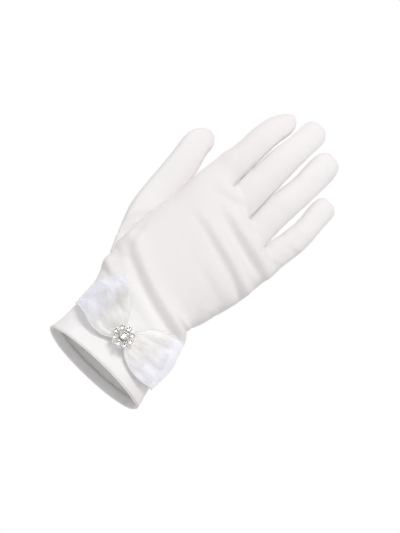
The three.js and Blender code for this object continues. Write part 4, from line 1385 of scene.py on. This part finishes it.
@dataclass(frozen=True)
class Board:
    """A node tree that is being laid out."""

    tree: bpy.types.NodeTree

    def feed(self, node: bpy.types.Node, feeds: Feeds) -> None:
        """Links a node's inputs to other sockets, or sets their values."""
        for key, value in feeds.items():
            if isinstance(value, Socket):
                self.tree.links.new(value, node.inputs[key])
            else:
                node.inputs[key].default_value = value

    def add(self, kind: str, feeds: Feeds | None = None, **settings: object) -> bpy.types.Node:
        """Adds a node.

        Args:
            kind: the node's type, without ShaderNode before it.
            feeds: a value or a socket for each named or numbered input.
            settings: the node's own settings.

        Returns:
            The node.
        """
        node = self.tree.nodes.new(f"ShaderNode{kind}")
        for name, value in settings.items():
            setattr(node, name, value)
        self.feed(node, feeds or {})
        return node

    def place(self) -> Socket:
        """Returns the place on the piece, in metres."""
        return self.add("TexCoord").outputs["Object"]

    def parts(self, place: Feed) -> Sequence[Socket]:
        """Returns a place's X, Y and Z."""
        return self.add("SeparateXYZ", {0: place}).outputs

    def math(self, operation: str, *values: Feed) -> Socket:
        """Returns the result of a sum on one, two or three values."""
        return self.add("Math", dict(enumerate(values)), operation=operation).outputs[0]

    def times(self, value: Feed, factor: Feed, plus: Feed = 0.0) -> Socket:
        """Returns a value times a factor, and something more."""
        return self.math("MULTIPLY_ADD", value, factor, plus)

    def less(self, value: Feed, amount: Feed) -> Socket:
        """Returns a value less an amount."""
        return self.math("SUBTRACT", value, amount)

    def spread(self, value: Feed, low: float, high: float, to_low: Feed, to_high: Feed) -> Socket:
        """Returns a value moved smoothly from one range to another."""
        feeds = {"Value": value, "From Min": low, "From Max": high, "To Min": to_low, "To Max": to_high}
        return self.add("MapRange", feeds, interpolation_type="SMOOTHSTEP").outputs[0]

    def noise(self, place: Feed, scale: Feed, detail: float = 2.0) -> Socket:
        """Returns smooth noise about 0.5."""
        return self.add("TexNoise", {"Vector": place, "Scale": scale, "Detail": detail}).outputs[0]

    def wave(self, place: Feed, scale: Feed, wander: float = 0.0) -> Socket:
        """Returns waves from 0 to 1 along X, scale of them to a metre; they may wander."""
        turns = self.math("MULTIPLY", self.parts(place)[0], scale)
        if wander:
            turns = self.times(self.noise(place, WANDER_SCALE, 1.0), wander, turns)
        return self.times(self.math("SINE", self.math("MULTIPLY", turns, 2 * math.pi)), 0.5, 0.5)

    def turned(self, place: Feed, degrees: Triple = (0, 0, 0), stretch: Triple = (1, 1, 1)) -> Socket:
        """Returns places turned about the axes and stretched along them."""
        feeds = {"Vector": place, "Rotation": tuple(map(math.radians, degrees)), "Scale": stretch}
        return self.add("Mapping", feeds).outputs[0]

    def bump(self, height: Feed, distance: float, normal: Feed | None = None) -> Socket:
        """Returns a normal that follows a height; distance is the height's size in metres."""
        feeds = {"Height": height, "Distance": distance, "Strength": 1.0}
        if normal is not None:
            feeds["Normal"] = normal
        return self.add("Bump", feeds).outputs[0]

    def mix(self, share: Feed, first: Feed, second: Feed, blend: str = "MIX") -> Socket:
        """Returns a colour between two, or a blend of them."""
        feeds = {0: share, 6: first, 7: second}
        return self.add("Mix", feeds, data_type="RGBA", blend_type=blend).outputs[2]

    def vectors(self, operation: str, first: Feed, second: Feed) -> Sequence[Socket]:
        """Returns the results of a sum on two vectors: a vector, and a value."""
        return self.add("VectorMath", {0: first, 1: second}, operation=operation).outputs


class SocketKind(Enum):
    """The kinds of socket that the groups have."""

    VALUE = "NodeSocketFloat"
    PLACE = "NodeSocketVector"
    COLOUR = "NodeSocketColor"


VALUE, PLACE, COLOUR = SocketKind


class Effect(ABC):
    """A shader node group that several finishes share, built once."""

    name: ClassVar[str]
    inputs: ClassVar[dict[str, SocketKind]]
    outputs: ClassVar[dict[str, SocketKind]]

    @abstractmethod
    def fill(self, board: Board, given: Sockets) -> Sockets:
        """Returns what feeds the group's outputs."""

    def tree(self) -> bpy.types.NodeTree:
        """Returns the group, made the first time it is asked for."""
        made = bpy.data.node_groups.get(self.name)
        if made:
            return made
        made = bpy.data.node_groups.new(self.name, "ShaderNodeTree")
        for way, sockets in (("INPUT", self.inputs), ("OUTPUT", self.outputs)):
            for label, kind in sockets.items():
                made.interface.new_socket(name=label, in_out=way, socket_type=kind.value)
        board = Board(made)
        entry, end = made.nodes.new("NodeGroupInput"), made.nodes.new("NodeGroupOutput")
        board.feed(end, self.fill(board, {socket.name: socket for socket in entry.outputs if socket.name}))
        return made

    def on(self, board: Board, feeds: Feeds) -> Sequence[Socket]:
        """Places the effect in a material with its values, and returns its outputs."""
        return board.add("Group", feeds, node_tree=self.tree()).outputs


@dataclass(frozen=True)
class Weave(Effect):
    """The weave: warp threads that float over several wefts, with uneven yarn."""

    name = "weave"
    inputs = {"Place": PLACE, "Threads": VALUE}
    outputs = {"Height": VALUE}
    wander: float = 0.35
    weft_share: float = 0.8
    weft_height: float = 0.25
    step_share: float = 0.21
    step_turn: float = 52.0
    step_depth: float = 0.45
    yarn_share: float = 0.6
    yarn_stretch: Triple = (1, 1, 0.12)
    yarn_height: float = 0.6

    def fill(self, board: Board, given: Sockets) -> Sockets:
        """Returns what feeds the group's outputs."""
        place, threads = given["Place"], given["Threads"]
        fewer = [board.math("MULTIPLY", threads, share)
                 for share in (self.weft_share, self.step_share, self.yarn_share)]
        warp = board.wave(place, threads, self.wander)
        weft = board.wave(board.turned(place, (0, 90, 0)), fewer[0], self.wander)
        step = board.wave(board.turned(place, (0, self.step_turn, 0)), fewer[1])
        yarn = board.noise(board.turned(place, stretch=self.yarn_stretch), fewer[2], 1.0)
        floats = board.math("MULTIPLY", warp, board.times(step, self.step_depth, 1 - self.step_depth))
        height = board.times(weft, self.weft_height, floats)
        return {"Height": board.times(yarn, self.yarn_height, height)}


@dataclass(frozen=True)
class Mottle(Effect):
    """Slow uneven tone over a colour."""

    name = "mottle"
    inputs = {"Place": PLACE, "Colour": COLOUR, "Scale": VALUE, "Amount": VALUE}
    outputs = {"Colour": COLOUR, "Tone": VALUE}
    fine_times: float = 7.0
    fine_share: float = 0.35

    def fill(self, board: Board, given: Sockets) -> Sockets:
        """Returns what feeds the group's outputs."""
        broad = board.noise(given["Place"], given["Scale"], 3.0)
        fine = board.noise(given["Place"], board.math("MULTIPLY", given["Scale"], self.fine_times), 2.0)
        both = board.times(fine, self.fine_share, board.math("MULTIPLY", broad, 1 - self.fine_share))
        tone = board.times(board.less(both, 0.5), given["Amount"], 1.0)
        grey = board.add("CombineColor", {0: tone, 1: tone, 2: tone}).outputs[0]
        return {"Colour": board.mix(1.0, given["Colour"], grey, "MULTIPLY"), "Tone": both}


@dataclass(frozen=True)
class Crumple(Effect):
    """The slight slack creases of cloth, longer across the glove than along it."""

    name = "crumple"
    inputs = {"Place": PLACE, "Scale": VALUE}
    outputs = {"Height": VALUE}
    turn: float = 14.0
    stretch: Triple = (0.4, 1, 1.3)
    crease_times: float = 2.3
    crease_sharp: float = 6.0
    crease_depth: float = 0.18

    def fill(self, board: Board, given: Sockets) -> Sockets:
        """Returns what feeds the group's outputs."""
        slack = board.turned(given["Place"], (0, self.turn, 0), self.stretch)
        broad = board.noise(slack, given["Scale"], 2.0)
        ridges = board.noise(slack, board.math("MULTIPLY", given["Scale"], self.crease_times), 1.0)
        apart = board.math("MULTIPLY", board.math("ABSOLUTE", board.less(ridges, 0.5)), 2.0)
        creases = board.math("POWER", board.less(1.0, apart), self.crease_sharp)
        return {"Height": board.times(creases, -self.crease_depth, broad)}


@dataclass(frozen=True)
class Recess(Effect):
    """The dull film that stays in the hollows of a casting, below a rim height; it also places the painted
    reflection in the stones' cups.
    """

    name = "recess"
    inputs = {"Place": PLACE, "Rim": PLACE, "Axis": PLACE, "Depth": VALUE}
    outputs = {"Mask": VALUE}
    patch_scale: float = 900.0
    patch_depth: float = 0.0008
    starts: float = 0.5

    def fill(self, board: Board, given: Sockets) -> Sockets:
        """Returns what feeds the group's outputs."""
        apart = board.vectors("SUBTRACT", given["Place"], given["Rim"])[0]
        along = board.vectors("DOT_PRODUCT", apart, given["Axis"])[1]
        patchy = board.less(board.noise(given["Place"], self.patch_scale, 2.0), 0.5)
        deep = board.math("DIVIDE", board.times(patchy, self.patch_depth, along), given["Depth"])
        return {"Mask": board.spread(deep, -1.0, -self.starts, 1.0, 0.0)}


WANDER_SCALE = 220.0
MIDDLE_TONES = (0.3, 0.7)
WEAVE = Weave()
MOTTLE = Mottle()
CRUMPLE = Crumple()
RECESS = Recess()


class Finish:
    """A material about one principled shader; plain gives the values that are the same all over."""

    name: str
    plain: ClassVar[Feeds] = {}
    mottle: Pair

    def varied(self, board: Board) -> Feeds:
        """Returns the shader's feeds that change over the surface."""
        return {}

    def mottled(self, board: Board, place: Socket, colour: Feed) -> Sequence[Socket]:
        """Returns a colour made uneven, and the tone by which it is; mottle is its scale and amount."""
        scale, amount = self.mottle
        return MOTTLE.on(board, {"Place": place, "Colour": colour, "Scale": scale, "Amount": amount})

    def material(self) -> bpy.types.Material:
        """Returns the material."""
        material = bpy.data.materials.new(self.name)
        material.use_nodes = True
        board = Board(material.node_tree)
        shader = material.node_tree.nodes["Principled BSDF"]
        board.feed(shader, {**self.plain, **self.varied(board)})
        return material


@dataclass(frozen=True)
class SatinFinish(Finish):
    """White stretch satin: matte, with a soft sheen, a fine weave and slack creases."""

    name: str = "white_satin"
    colour: Colour = (0.9, 0.867, 0.86)
    # Painted light: the colour that the cloth is painted towards where more light falls on it.
    white: Colour = (0.985, 0.974, 0.968)
    # Painted light: two heights between which the cloth is painted whiter or less white, for the brighter
    # light at the cuff's middle, the fingertips and the thumb, and by how much.
    cuff_painted_light: Triple = (0.026, 0.08, 1.0)
    wrist_middle: float = -0.005
    wrist_until: Pair = (0.016, 0.04)
    tips_painted_light: Triple = (0.165, 0.215, 0.34)
    tips_slant: float = 0.6
    thumb_painted_light: Triple = (0.084, 0.1, 0.4)
    thumb_from: Pair = (0.04, 0.05)
    roughness: Pair = (0.5, 0.62)
    threads: float = 2900.0
    weave_height: float = 0.000045
    crumple_scale: float = 70.0
    crumple_height: float = 0.00022
    mottle: Pair = (38.0, 0.05)
    plain = {
        "Sheen Weight": 0.12, "Sheen Roughness": 0.4, "Specular IOR Level": 0.32, "IOR": 1.45,
    }

    def painted_light(self, board: Board, place: Socket) -> Socket:
        """Returns how much painted light the cloth takes: whiter towards the cuff's middle, the fingertips
        and the thumb, where more light falls.
        """
        x, _, z = board.parts(place)
        wrist, tips, up_thumb = self.cuff_painted_light, self.tips_painted_light, self.thumb_painted_light
        across = board.math("ABSOLUTE", board.less(x, self.wrist_middle))
        cuff = board.math("MULTIPLY", board.spread(z, *wrist[:2], wrist[2], 0.0),
                          board.spread(across, *self.wrist_until, 1.0, 0.0))
        ends = board.spread(board.times(x, self.tips_slant, z), *tips[:2], 0.0, tips[2])
        above = board.spread(z, *up_thumb[:2], 0.0, up_thumb[2])
        beside = board.spread(x, -self.thumb_from[1], -self.thumb_from[0], 1.0, 0.0)
        return board.math("MAXIMUM", board.math("MAXIMUM", cuff, ends), board.math("MULTIPLY", beside, above))

    def varied(self, board: Board) -> Feeds:
        """Returns the shader's feeds: the painted light, the weave and the creases."""
        place = board.place()
        # Painted light: the cloth's colour is mixed towards white where more light falls.
        colour = board.mix(self.painted_light(board, place), (*self.colour, 1), (*self.white, 1))
        tone = self.mottled(board, place, colour)
        weave = WEAVE.on(board, {"Place": place, "Threads": self.threads})
        crumple = CRUMPLE.on(board, {"Place": place, "Scale": self.crumple_scale})
        slack = board.bump(crumple["Height"], self.crumple_height)
        return {
            "Base Color": tone["Colour"],
            "Roughness": board.spread(tone["Tone"], *MIDDLE_TONES, *self.roughness),
            "Normal": board.bump(weave["Height"], self.weave_height, slack),
        }


@dataclass(frozen=True)
class OrganzaFinish(Finish):
    """Sheer ribbon of fine crossed threads, plain where it is gathered and lavender towards the fold.

    The places on the cloth run along the ribbon from the knot and across it from its lower edge, in
    metres. Each cover is how much of the light the ribbon stops, between its threads and on them.
    """

    name: str = "sheer_organza"
    inner: Colour = (0.965, 0.95, 0.94)
    outer: Colour = (0.945, 0.942, 1.0)
    inner_cover: Pair = (0.16, 0.5)
    outer_cover: Pair = (0.38, 0.76)
    gathered_cover: float = 0.14
    gathers_until: Pair = (0.006, 0.02)
    patches: float = 170.0
    patch_stretch: Triple = (0.4, 1, 1)
    patch_tones: Pair = (0.35, 0.65)
    patch_cover: Pair = (0.8, 1.2)
    fold_at: float = 0.042
    fold_cover: float = 0.22
    fold_until: Pair = (0.0005, 0.0035)
    fold_slant: float = 0.27
    upper_draw: float = 0.22
    # How far from the fold the outer look starts to fade and has gone, as shares of the way to the knot.
    outer_until: Pair = (0.36, 0.92)
    wander: float = 0.012
    wander_scale: float = 90.0
    # How much deeper the ribbon's shadow is than its cover, at the fold and across it near the knot.
    shadow_at_fold: float = 1.2
    shadow_at_knot: Pair = (1.2, 1.2)
    shadow_until: Pair = (0.01, 0.03)
    shadow_edge: Pair = (0.005, 0.016)
    # Painted light: the ribbon glows in its own colour, standing in for light that passes through the sheer
    # cloth.
    glow: float = 0.11
    roughness: Pair = (0.38, 0.55)
    mottle: Pair = (60.0, 0.1)
    threads: float = 2400.0
    thread_wander: float = 0.3
    thread_tones: Pair = (0.25, 0.75)
    slub_scale: float = 130.0
    slub_stretch: Triple = (1, 9, 1)
    slub_share: float = 0.5
    weave_height: float = 0.00004
    plain = {"Sheen Weight": 0.2, "Sheen Roughness": 0.3, "Specular IOR Level": 0.5}

    def shadow(self, board: Board, from_fold: Feed, across: Feed) -> Socket:
        """Returns how much of its cover the ribbon shows: all of it, and another share to a shadow."""
        near_knot = board.spread(across, *self.shadow_edge, *self.shadow_at_knot)
        share = board.spread(from_fold, *self.shadow_until, self.shadow_at_fold, near_knot)
        in_shadow = board.add("LightPath").outputs["Is Shadow Ray"]
        return board.spread(in_shadow, 0, 1, 1, share)

    def cover(self, board: Board, cloth: Feed, outward: Feed, threads: Feed) -> Socket:
        """Returns how much the ribbon covers, before its second layer at the fold.

        Args:
            board: takes the nodes.
            cloth: places on the cloth.
            outward: from 0 near the knot to 1 towards the fold.
            threads: how much thread lies at a place.
        """
        low, high = (board.times(outward, outer - inner, inner)
                     for inner, outer in zip(self.inner_cover, self.outer_cover))
        share = board.spread(threads, *self.thread_tones, 0.0, 1.0)
        cover = board.times(share, board.less(high, low), low)
        patchy = board.noise(board.turned(cloth, stretch=self.patch_stretch), self.patches, 1.0)
        patches = board.spread(patchy, *self.patch_tones, *self.patch_cover)
        along = board.parts(cloth)[0]
        return board.times(cover, patches, board.spread(along, *self.gathers_until, self.gathered_cover, 0.0))

    def varied(self, board: Board) -> Feeds:
        """Returns the shader's feeds: the threads, the tint, the painted glow and the cover."""
        place = board.place()
        cloth = board.add("UVMap", uv_map=CLOTH_MAP).outputs[0]
        along, across, _ = board.parts(cloth)
        from_fold = board.math("ABSOLUTE", board.less(along, self.fold_at))
        at_fold = board.spread(board.times(across, -self.fold_slant, from_fold), *self.fold_until,
                               self.fold_cover, 0.0)
        drawn = board.times(across, self.upper_draw, from_fold)
        uneven = board.times(board.noise(place, self.wander_scale, 1.0), self.wander, drawn)
        outward = board.spread(uneven, *(self.fold_at * share for share in self.outer_until), 1.0, 0.0)
        colour = board.mix(outward, (*self.inner, 1), (*self.outer, 1))
        tone = self.mottled(board, place, colour)
        crossed = board.math("MAXIMUM", *(board.wave(way, self.threads, self.thread_wander)
                                          for way in (cloth, board.turned(cloth, (0, 0, 90)))))
        slubs = board.noise(board.turned(cloth, stretch=self.slub_stretch), self.slub_scale, 2.0)
        threads = board.times(slubs, self.slub_share, board.math("MULTIPLY", crossed, 1 - self.slub_share))
        cover = board.math("ADD", self.cover(board, cloth, outward, threads), at_fold)
        return {
            "Base Color": tone["Colour"],
            # Painted light: the ribbon's own colour as a glow.
            "Emission Color": tone["Colour"],
            "Emission Strength": self.glow,
            "Alpha": board.math("MULTIPLY", cover, self.shadow(board, from_fold, across)),
            "Roughness": board.spread(slubs, *MIDDLE_TONES, *self.roughness),
            "Normal": board.bump(crossed, self.weave_height),
        }


@dataclass(frozen=True)
class CordFinish(Finish):
    """The close-woven white edges of the ribbon."""

    name: str = "white_selvage"
    colour: Colour = (0.93, 0.93, 0.945)
    roughness: Pair = (0.45, 0.6)
    mottle: Pair = (90.0, 0.06)
    threads: float = 1900.0
    thread_turn: float = 35.0
    weave_height: float = 0.00005
    plain = {"Sheen Weight": 0.15, "Specular IOR Level": 0.4}

    def varied(self, board: Board) -> Feeds:
        """Returns the shader's feeds: the tone and the slanted weave."""
        place = board.place()
        tone = self.mottled(board, place, (*self.colour, 1))
        weave = WEAVE.on(board, {"Place": board.turned(place, (0, self.thread_turn, 0)),
                                 "Threads": self.threads})
        return {
            "Base Color": tone["Colour"],
            "Roughness": board.spread(tone["Tone"], *MIDDLE_TONES, *self.roughness),
            "Normal": board.bump(weave["Height"], self.weave_height),
        }


@dataclass(frozen=True)
class SilverFinish(Finish):
    """Bright plating with a dull film left in its hollows, below a depth under the stones' rims; in the copy
    for the outer stones' cups the film is a near-black painted reflection.
    """

    rim: Triple
    axis: Triple
    name: str = "bright_plating"
    colour: Colour = (0.97, 0.945, 0.91)
    # The film's colour: a real dull film on the plating, and a near-black painted reflection in the copy for
    # the outer stones' cups.
    film: Colour = (0.66, 0.64, 0.61)
    film_depth: float = 0.003
    metallic: Pair = (0.55, 0.4)
    roughness: float = 0.28
    film_roughness: float = 0.5
    mottle: Pair = (400.0, 0.12)
    pits: float = 1500.0
    pit_depth: float = 0.00002
    plain = {"Specular IOR Level": 0.5}

    def varied(self, board: Board) -> Feeds:
        """Returns the shader's feeds: the plating, its film and its pits."""
        place = board.place()
        mask = RECESS.on(board, {"Place": place, "Rim": self.rim, "Axis": self.axis,
                                 "Depth": self.film_depth})["Mask"]
        tone = self.mottled(board, place, (*self.colour, 1))
        return {
            "Base Color": board.mix(mask, tone["Colour"], (*self.film, 1)),
            "Metallic": board.spread(mask, 0.0, 1.0, *self.metallic),
            "Roughness": board.spread(mask, 0.0, 1.0, self.roughness, self.film_roughness),
            "Normal": board.bump(board.noise(place, self.pits, 2.0), self.pit_depth),
        }


@dataclass(frozen=True)
class CrystalFinish(Finish):
    """Clear cut glass, a little worn at the polish."""

    name: str = "clear_crystal"
    colour: Colour = (0.985, 0.988, 1)
    wear_tones: Pair = (0.35, 0.7)
    wear: Pair = (0.0, 0.03)
    mottle: Pair = (700.0, 0.02)
    plain = {
        "IOR": 1.6, "Transmission Weight": 1.0, "Metallic": 0.0, "Specular IOR Level": 0.5,
    }

    def varied(self, board: Board) -> Feeds:
        """Returns the shader's feeds: the tone and the worn polish."""
        tone = self.mottled(board, board.place(), (*self.colour, 1))
        return {
            "Base Color": tone["Colour"],
            "Roughness": board.spread(tone["Tone"], *self.wear_tones, *self.wear),
        }


@dataclass(frozen=True)
class FloorFinish(Finish):
    """The studio's plain pale floor."""

    name: str = "pale_floor"
    plain = {"Base Color": (0.9, 0.9, 0.9, 1), "Roughness": 0.8, "Specular IOR Level": 0.2}


def dress(piece: Object, node: str, slot: str, *materials: bpy.types.Material) -> None:
    """Gives a piece its materials, attaches it to the body it rides on, and hides the solid that it stands
    for.

    Args:
        piece: the new piece.
        node: the solid that it replaces.
        slot: the record's material slot; not used.
        materials: its materials, in the order of its material slots.
    """
    for material in materials:
        piece.data.materials.append(material)
    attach(piece, BODY)
    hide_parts(node)
    log.info("%s: %d points, %d faces", piece.name, len(piece.data.vertices), len(piece.data.polygons))


@dataclass
class Glove:
    """The satin glove: both panels, the thumb and the hem."""

    form: GloveForm
    finish: SatinFinish = SatinFinish()
    # The flat width, length and area of the back panel, the palm panel and the thumb, in metres.
    flats: tuple[Triple, ...] = ((0.1, 0.236, 0.0207), (0.1, 0.236, 0.0206), (0.066, 0.095, 0.0056))
    hem_flat: Pair = (0.222, 0.0101)

    def build(self) -> None:
        """Builds and dresses the pieces."""
        skin = GloveSkin(self.form)
        skin.build_surface()
        satin = self.finish.material()
        made = {cloth: skin.build_piece(cloth) for cloth in Cloth}
        hem = CuffHem(skin).build()
        for (cloth, piece), (width, length, area) in zip(made.items(), self.flats):
            dress(piece, cloth.name.lower(), "satin", satin)
        dress(hem, "cuff_hem", "satin", satin)


@dataclass
class Bow:
    """The bow of sheer ribbon: two loops and the strip that wraps their middle."""

    form: GloveForm
    # Painted light: the right loop and the knot glow more than the left loop, standing in for the brighter
    # light on the right; the left loop is also more see-through and casts a deeper shadow.
    finish: OrganzaFinish = OrganzaFinish(
        inner_cover=(0.18, 0.52), outer_cover=(0.44, 0.84), gathered_cover=0.2, shadow_at_fold=1.6,
        glow=0.125)
    left_finish: OrganzaFinish = OrganzaFinish(
        name="sheer_organza_left", inner_cover=(0.08, 0.34), outer_cover=(0.3, 0.66), gathered_cover=0.4,
        gathers_until=(0.012, 0.022), fold_cover=0.06, shadow_at_fold=2.6, shadow_at_knot=(1.1, 2.6),
        glow=0.11)
    edge_finish: CordFinish = CordFinish()
    loop_flat: Pair = (0.038, 0.086)
    knot_flat: Pair = (0.0125, 0.044)
    left_phase: float = 0.15
    right_phase: float = 0.62

    def build(self) -> None:
        """Builds and dresses the pieces."""
        organza, left_organza = self.finish.material(), self.left_finish.material()
        cord = self.edge_finish.material()
        left = RibbonLoop(self.form, "loop_left_ribbon", LEFT_LOOP, LEFT_PUFFS, self.left_phase)
        right = RibbonLoop(self.form, "loop_right_ribbon", RIGHT_LOOP, RIGHT_PUFFS, self.right_phase)
        for maker, node, flat, ribbon in (
            (left, "bow_loop_left", self.loop_flat, left_organza),
            (right, "bow_loop_right", self.loop_flat, organza),
            (BowKnot(self.form), "bow_knot", self.knot_flat, organza),
        ):
            piece = maker.build()
            dress(piece, node, "organza", ribbon, cord)


@dataclass
class Brooch:
    """The flower of stones on the knot."""

    form: GloveForm
    crystal: CrystalFinish = CrystalFinish()
    # Painted reflection: the near-black film in the outer stones' cups, below a depth under their rims, gives
    # the stones dark patches.
    painted_reflection_dark: Colour = (0.03, 0.03, 0.03)
    painted_reflection_depth: float = 0.0007
    lining_roughness: float = 0.1

    def build(self) -> None:
        """Builds and dresses the setting and its stones."""
        flower = StoneFlower(self.form)
        place = flower.frame()
        axis = place.to_3x3() @ Vector((0, 0, 1))
        rim = place @ Vector((0, 0, flower.petal_height)) * MM
        plating = SilverFinish(tuple(rim), tuple(axis))
        # Painted reflection: a copy of the plating that is near-black deep in the outer stones' cups.
        painted_dark_lining = replace(plating, name="painted_reflection_lining", film=self.painted_reflection_dark, film_depth=self.painted_reflection_depth,
                       roughness=self.lining_roughness)
        dress(flower.build_setting(), "brooch_setting", "silver", plating.material(), painted_dark_lining.material())
        clear = self.crystal.material()
        for seat in flower.seats():
            dress(flower.build_stone(seat), seat.node, "crystal", clear)


@dataclass(frozen=True)
class Lamp:
    """A soft round light: the way to it from the glove, its size and its power."""

    name: str
    towards: Triple
    size: float
    power: float


@dataclass
class Studio:
    """The camera, the soft lights, the pale surround and the floor."""

    look: Triple = (0.0, 0.97237, 0.23345)
    right: Triple = (0.7254, -0.16071, 0.66938)
    up: Triple = (-0.6884, -0.16934, 0.70536)
    middle: Triple = (0.0048, 0.0, 0.1)
    camera_distance: float = 5.0
    field_high: float = 0.3518
    sensor: float = 36.0
    sees_to: float = 300.0
    # A high key, a fill from each side and one for the palm.
    lamps: tuple[Lamp, ...] = (
        Lamp("key", (-0.14, -0.82, 0.53), 0.9, 26.3),
        Lamp("left", (-0.9, -0.4, 0.1), 1.4, 7.5),
        Lamp("right", (0.85, -0.5, 0.2), 1.4, 6.0),
        Lamp("palm_side", (0.1, 0.85, 0.5), 1.0, 12.0),
    )
    lamp_distance: float = 2.4
    floor: FloorFinish = FloorFinish()
    floor_height: float = -2.0
    floor_radius: float = 60.0
    floor_sides: int = 96
    # The way to the surround's dim side, up and to the camera, where it starts, and both strengths.
    surround_lean: Pair = (0.45, 0.9)
    surround_from: float = -0.6
    surround_strengths: Pair = (0.74, 0.36)

    def add_camera(self) -> None:
        """Sets the camera at the photograph's viewing angle."""
        data = bpy.data.cameras.new("camera")
        data.sensor_fit = "VERTICAL"
        data.sensor_height = self.sensor
        data.lens = self.sensor / self.field_high * self.camera_distance
        data.clip_end = self.sees_to
        camera = link_object("camera", data)
        look, right, up = (Vector(axis).normalized() for axis in (self.look, self.right, self.up))
        turned = Matrix((right, up, -look)).transposed().to_4x4()
        camera.matrix_world = Matrix.Translation(Vector(self.middle) - look * self.camera_distance) @ turned
        bpy.context.scene.camera = camera

    def add_lamp(self, lamp: Lamp) -> None:
        """Adds a light that faces the glove."""
        data = bpy.data.lights.new(lamp.name, "AREA")
        data.shape = "DISK"
        data.size = lamp.size
        data.energy = lamp.power
        towards = Vector(lamp.towards).normalized()
        place = Matrix.Translation(Vector(self.middle) + towards * self.lamp_distance)
        made = link_object(lamp.name, data)
        made.matrix_world = place @ towards.to_track_quat("Z", "Y").to_matrix().to_4x4()

    def add_surround(self) -> None:
        """Makes the surround white to the eye, and as a light brightest from behind the glove."""
        world = bpy.data.worlds.new("surround")
        world.use_nodes = True
        board = Board(world.node_tree)
        world.node_tree.nodes.clear()
        upward, backward = self.surround_lean
        towards = np.array(self.up) * upward - np.array(self.look) * backward
        facing = board.add("TexCoord").outputs["Generated"]
        along = board.vectors("DOT_PRODUCT", facing, tuple(Vector(towards).normalized()))[1]
        strength = board.spread(along, self.surround_from, 1.0, *self.surround_strengths)
        soft, white = (
            board.add("Background", {"Color": (1, 1, 1, 1), "Strength": power}).outputs[0]
            for power in (strength, 1.0)
        )
        seen = board.add("LightPath").outputs["Is Camera Ray"]
        both = board.add("MixShader", {0: seen, 1: soft, 2: white}).outputs[0]
        board.add("OutputWorld", {"Surface": both})
        bpy.context.scene.world = world

    def add_floor(self) -> None:
        """Adds the plain pale floor."""
        mesh = bmesh.new()
        bmesh.ops.create_circle(mesh, cap_ends=True, segments=self.floor_sides, radius=self.floor_radius)
        floor = object_from(mesh, "floor")
        floor.location = (0, 0, self.floor_height)
        floor.data.materials.append(self.floor.material())

    def build(self) -> None:
        """Sets up the whole studio."""
        self.add_camera()
        self.add_surround()
        self.add_floor()
        for lamp in self.lamps:
            self.add_lamp(lamp)
        settings = bpy.context.scene.view_settings
        settings.view_transform = "Standard"
        settings.look = "None"


def main() -> None:
    """Builds the whole scene."""
    logging.basicConfig(level=logging.INFO, format="%(message)s")
    Studio().build()
    form = GloveForm()
    Glove(form).build()
    Bow(form).build()
    Brooch(form).build()


if __name__ == "__main__":
    main()
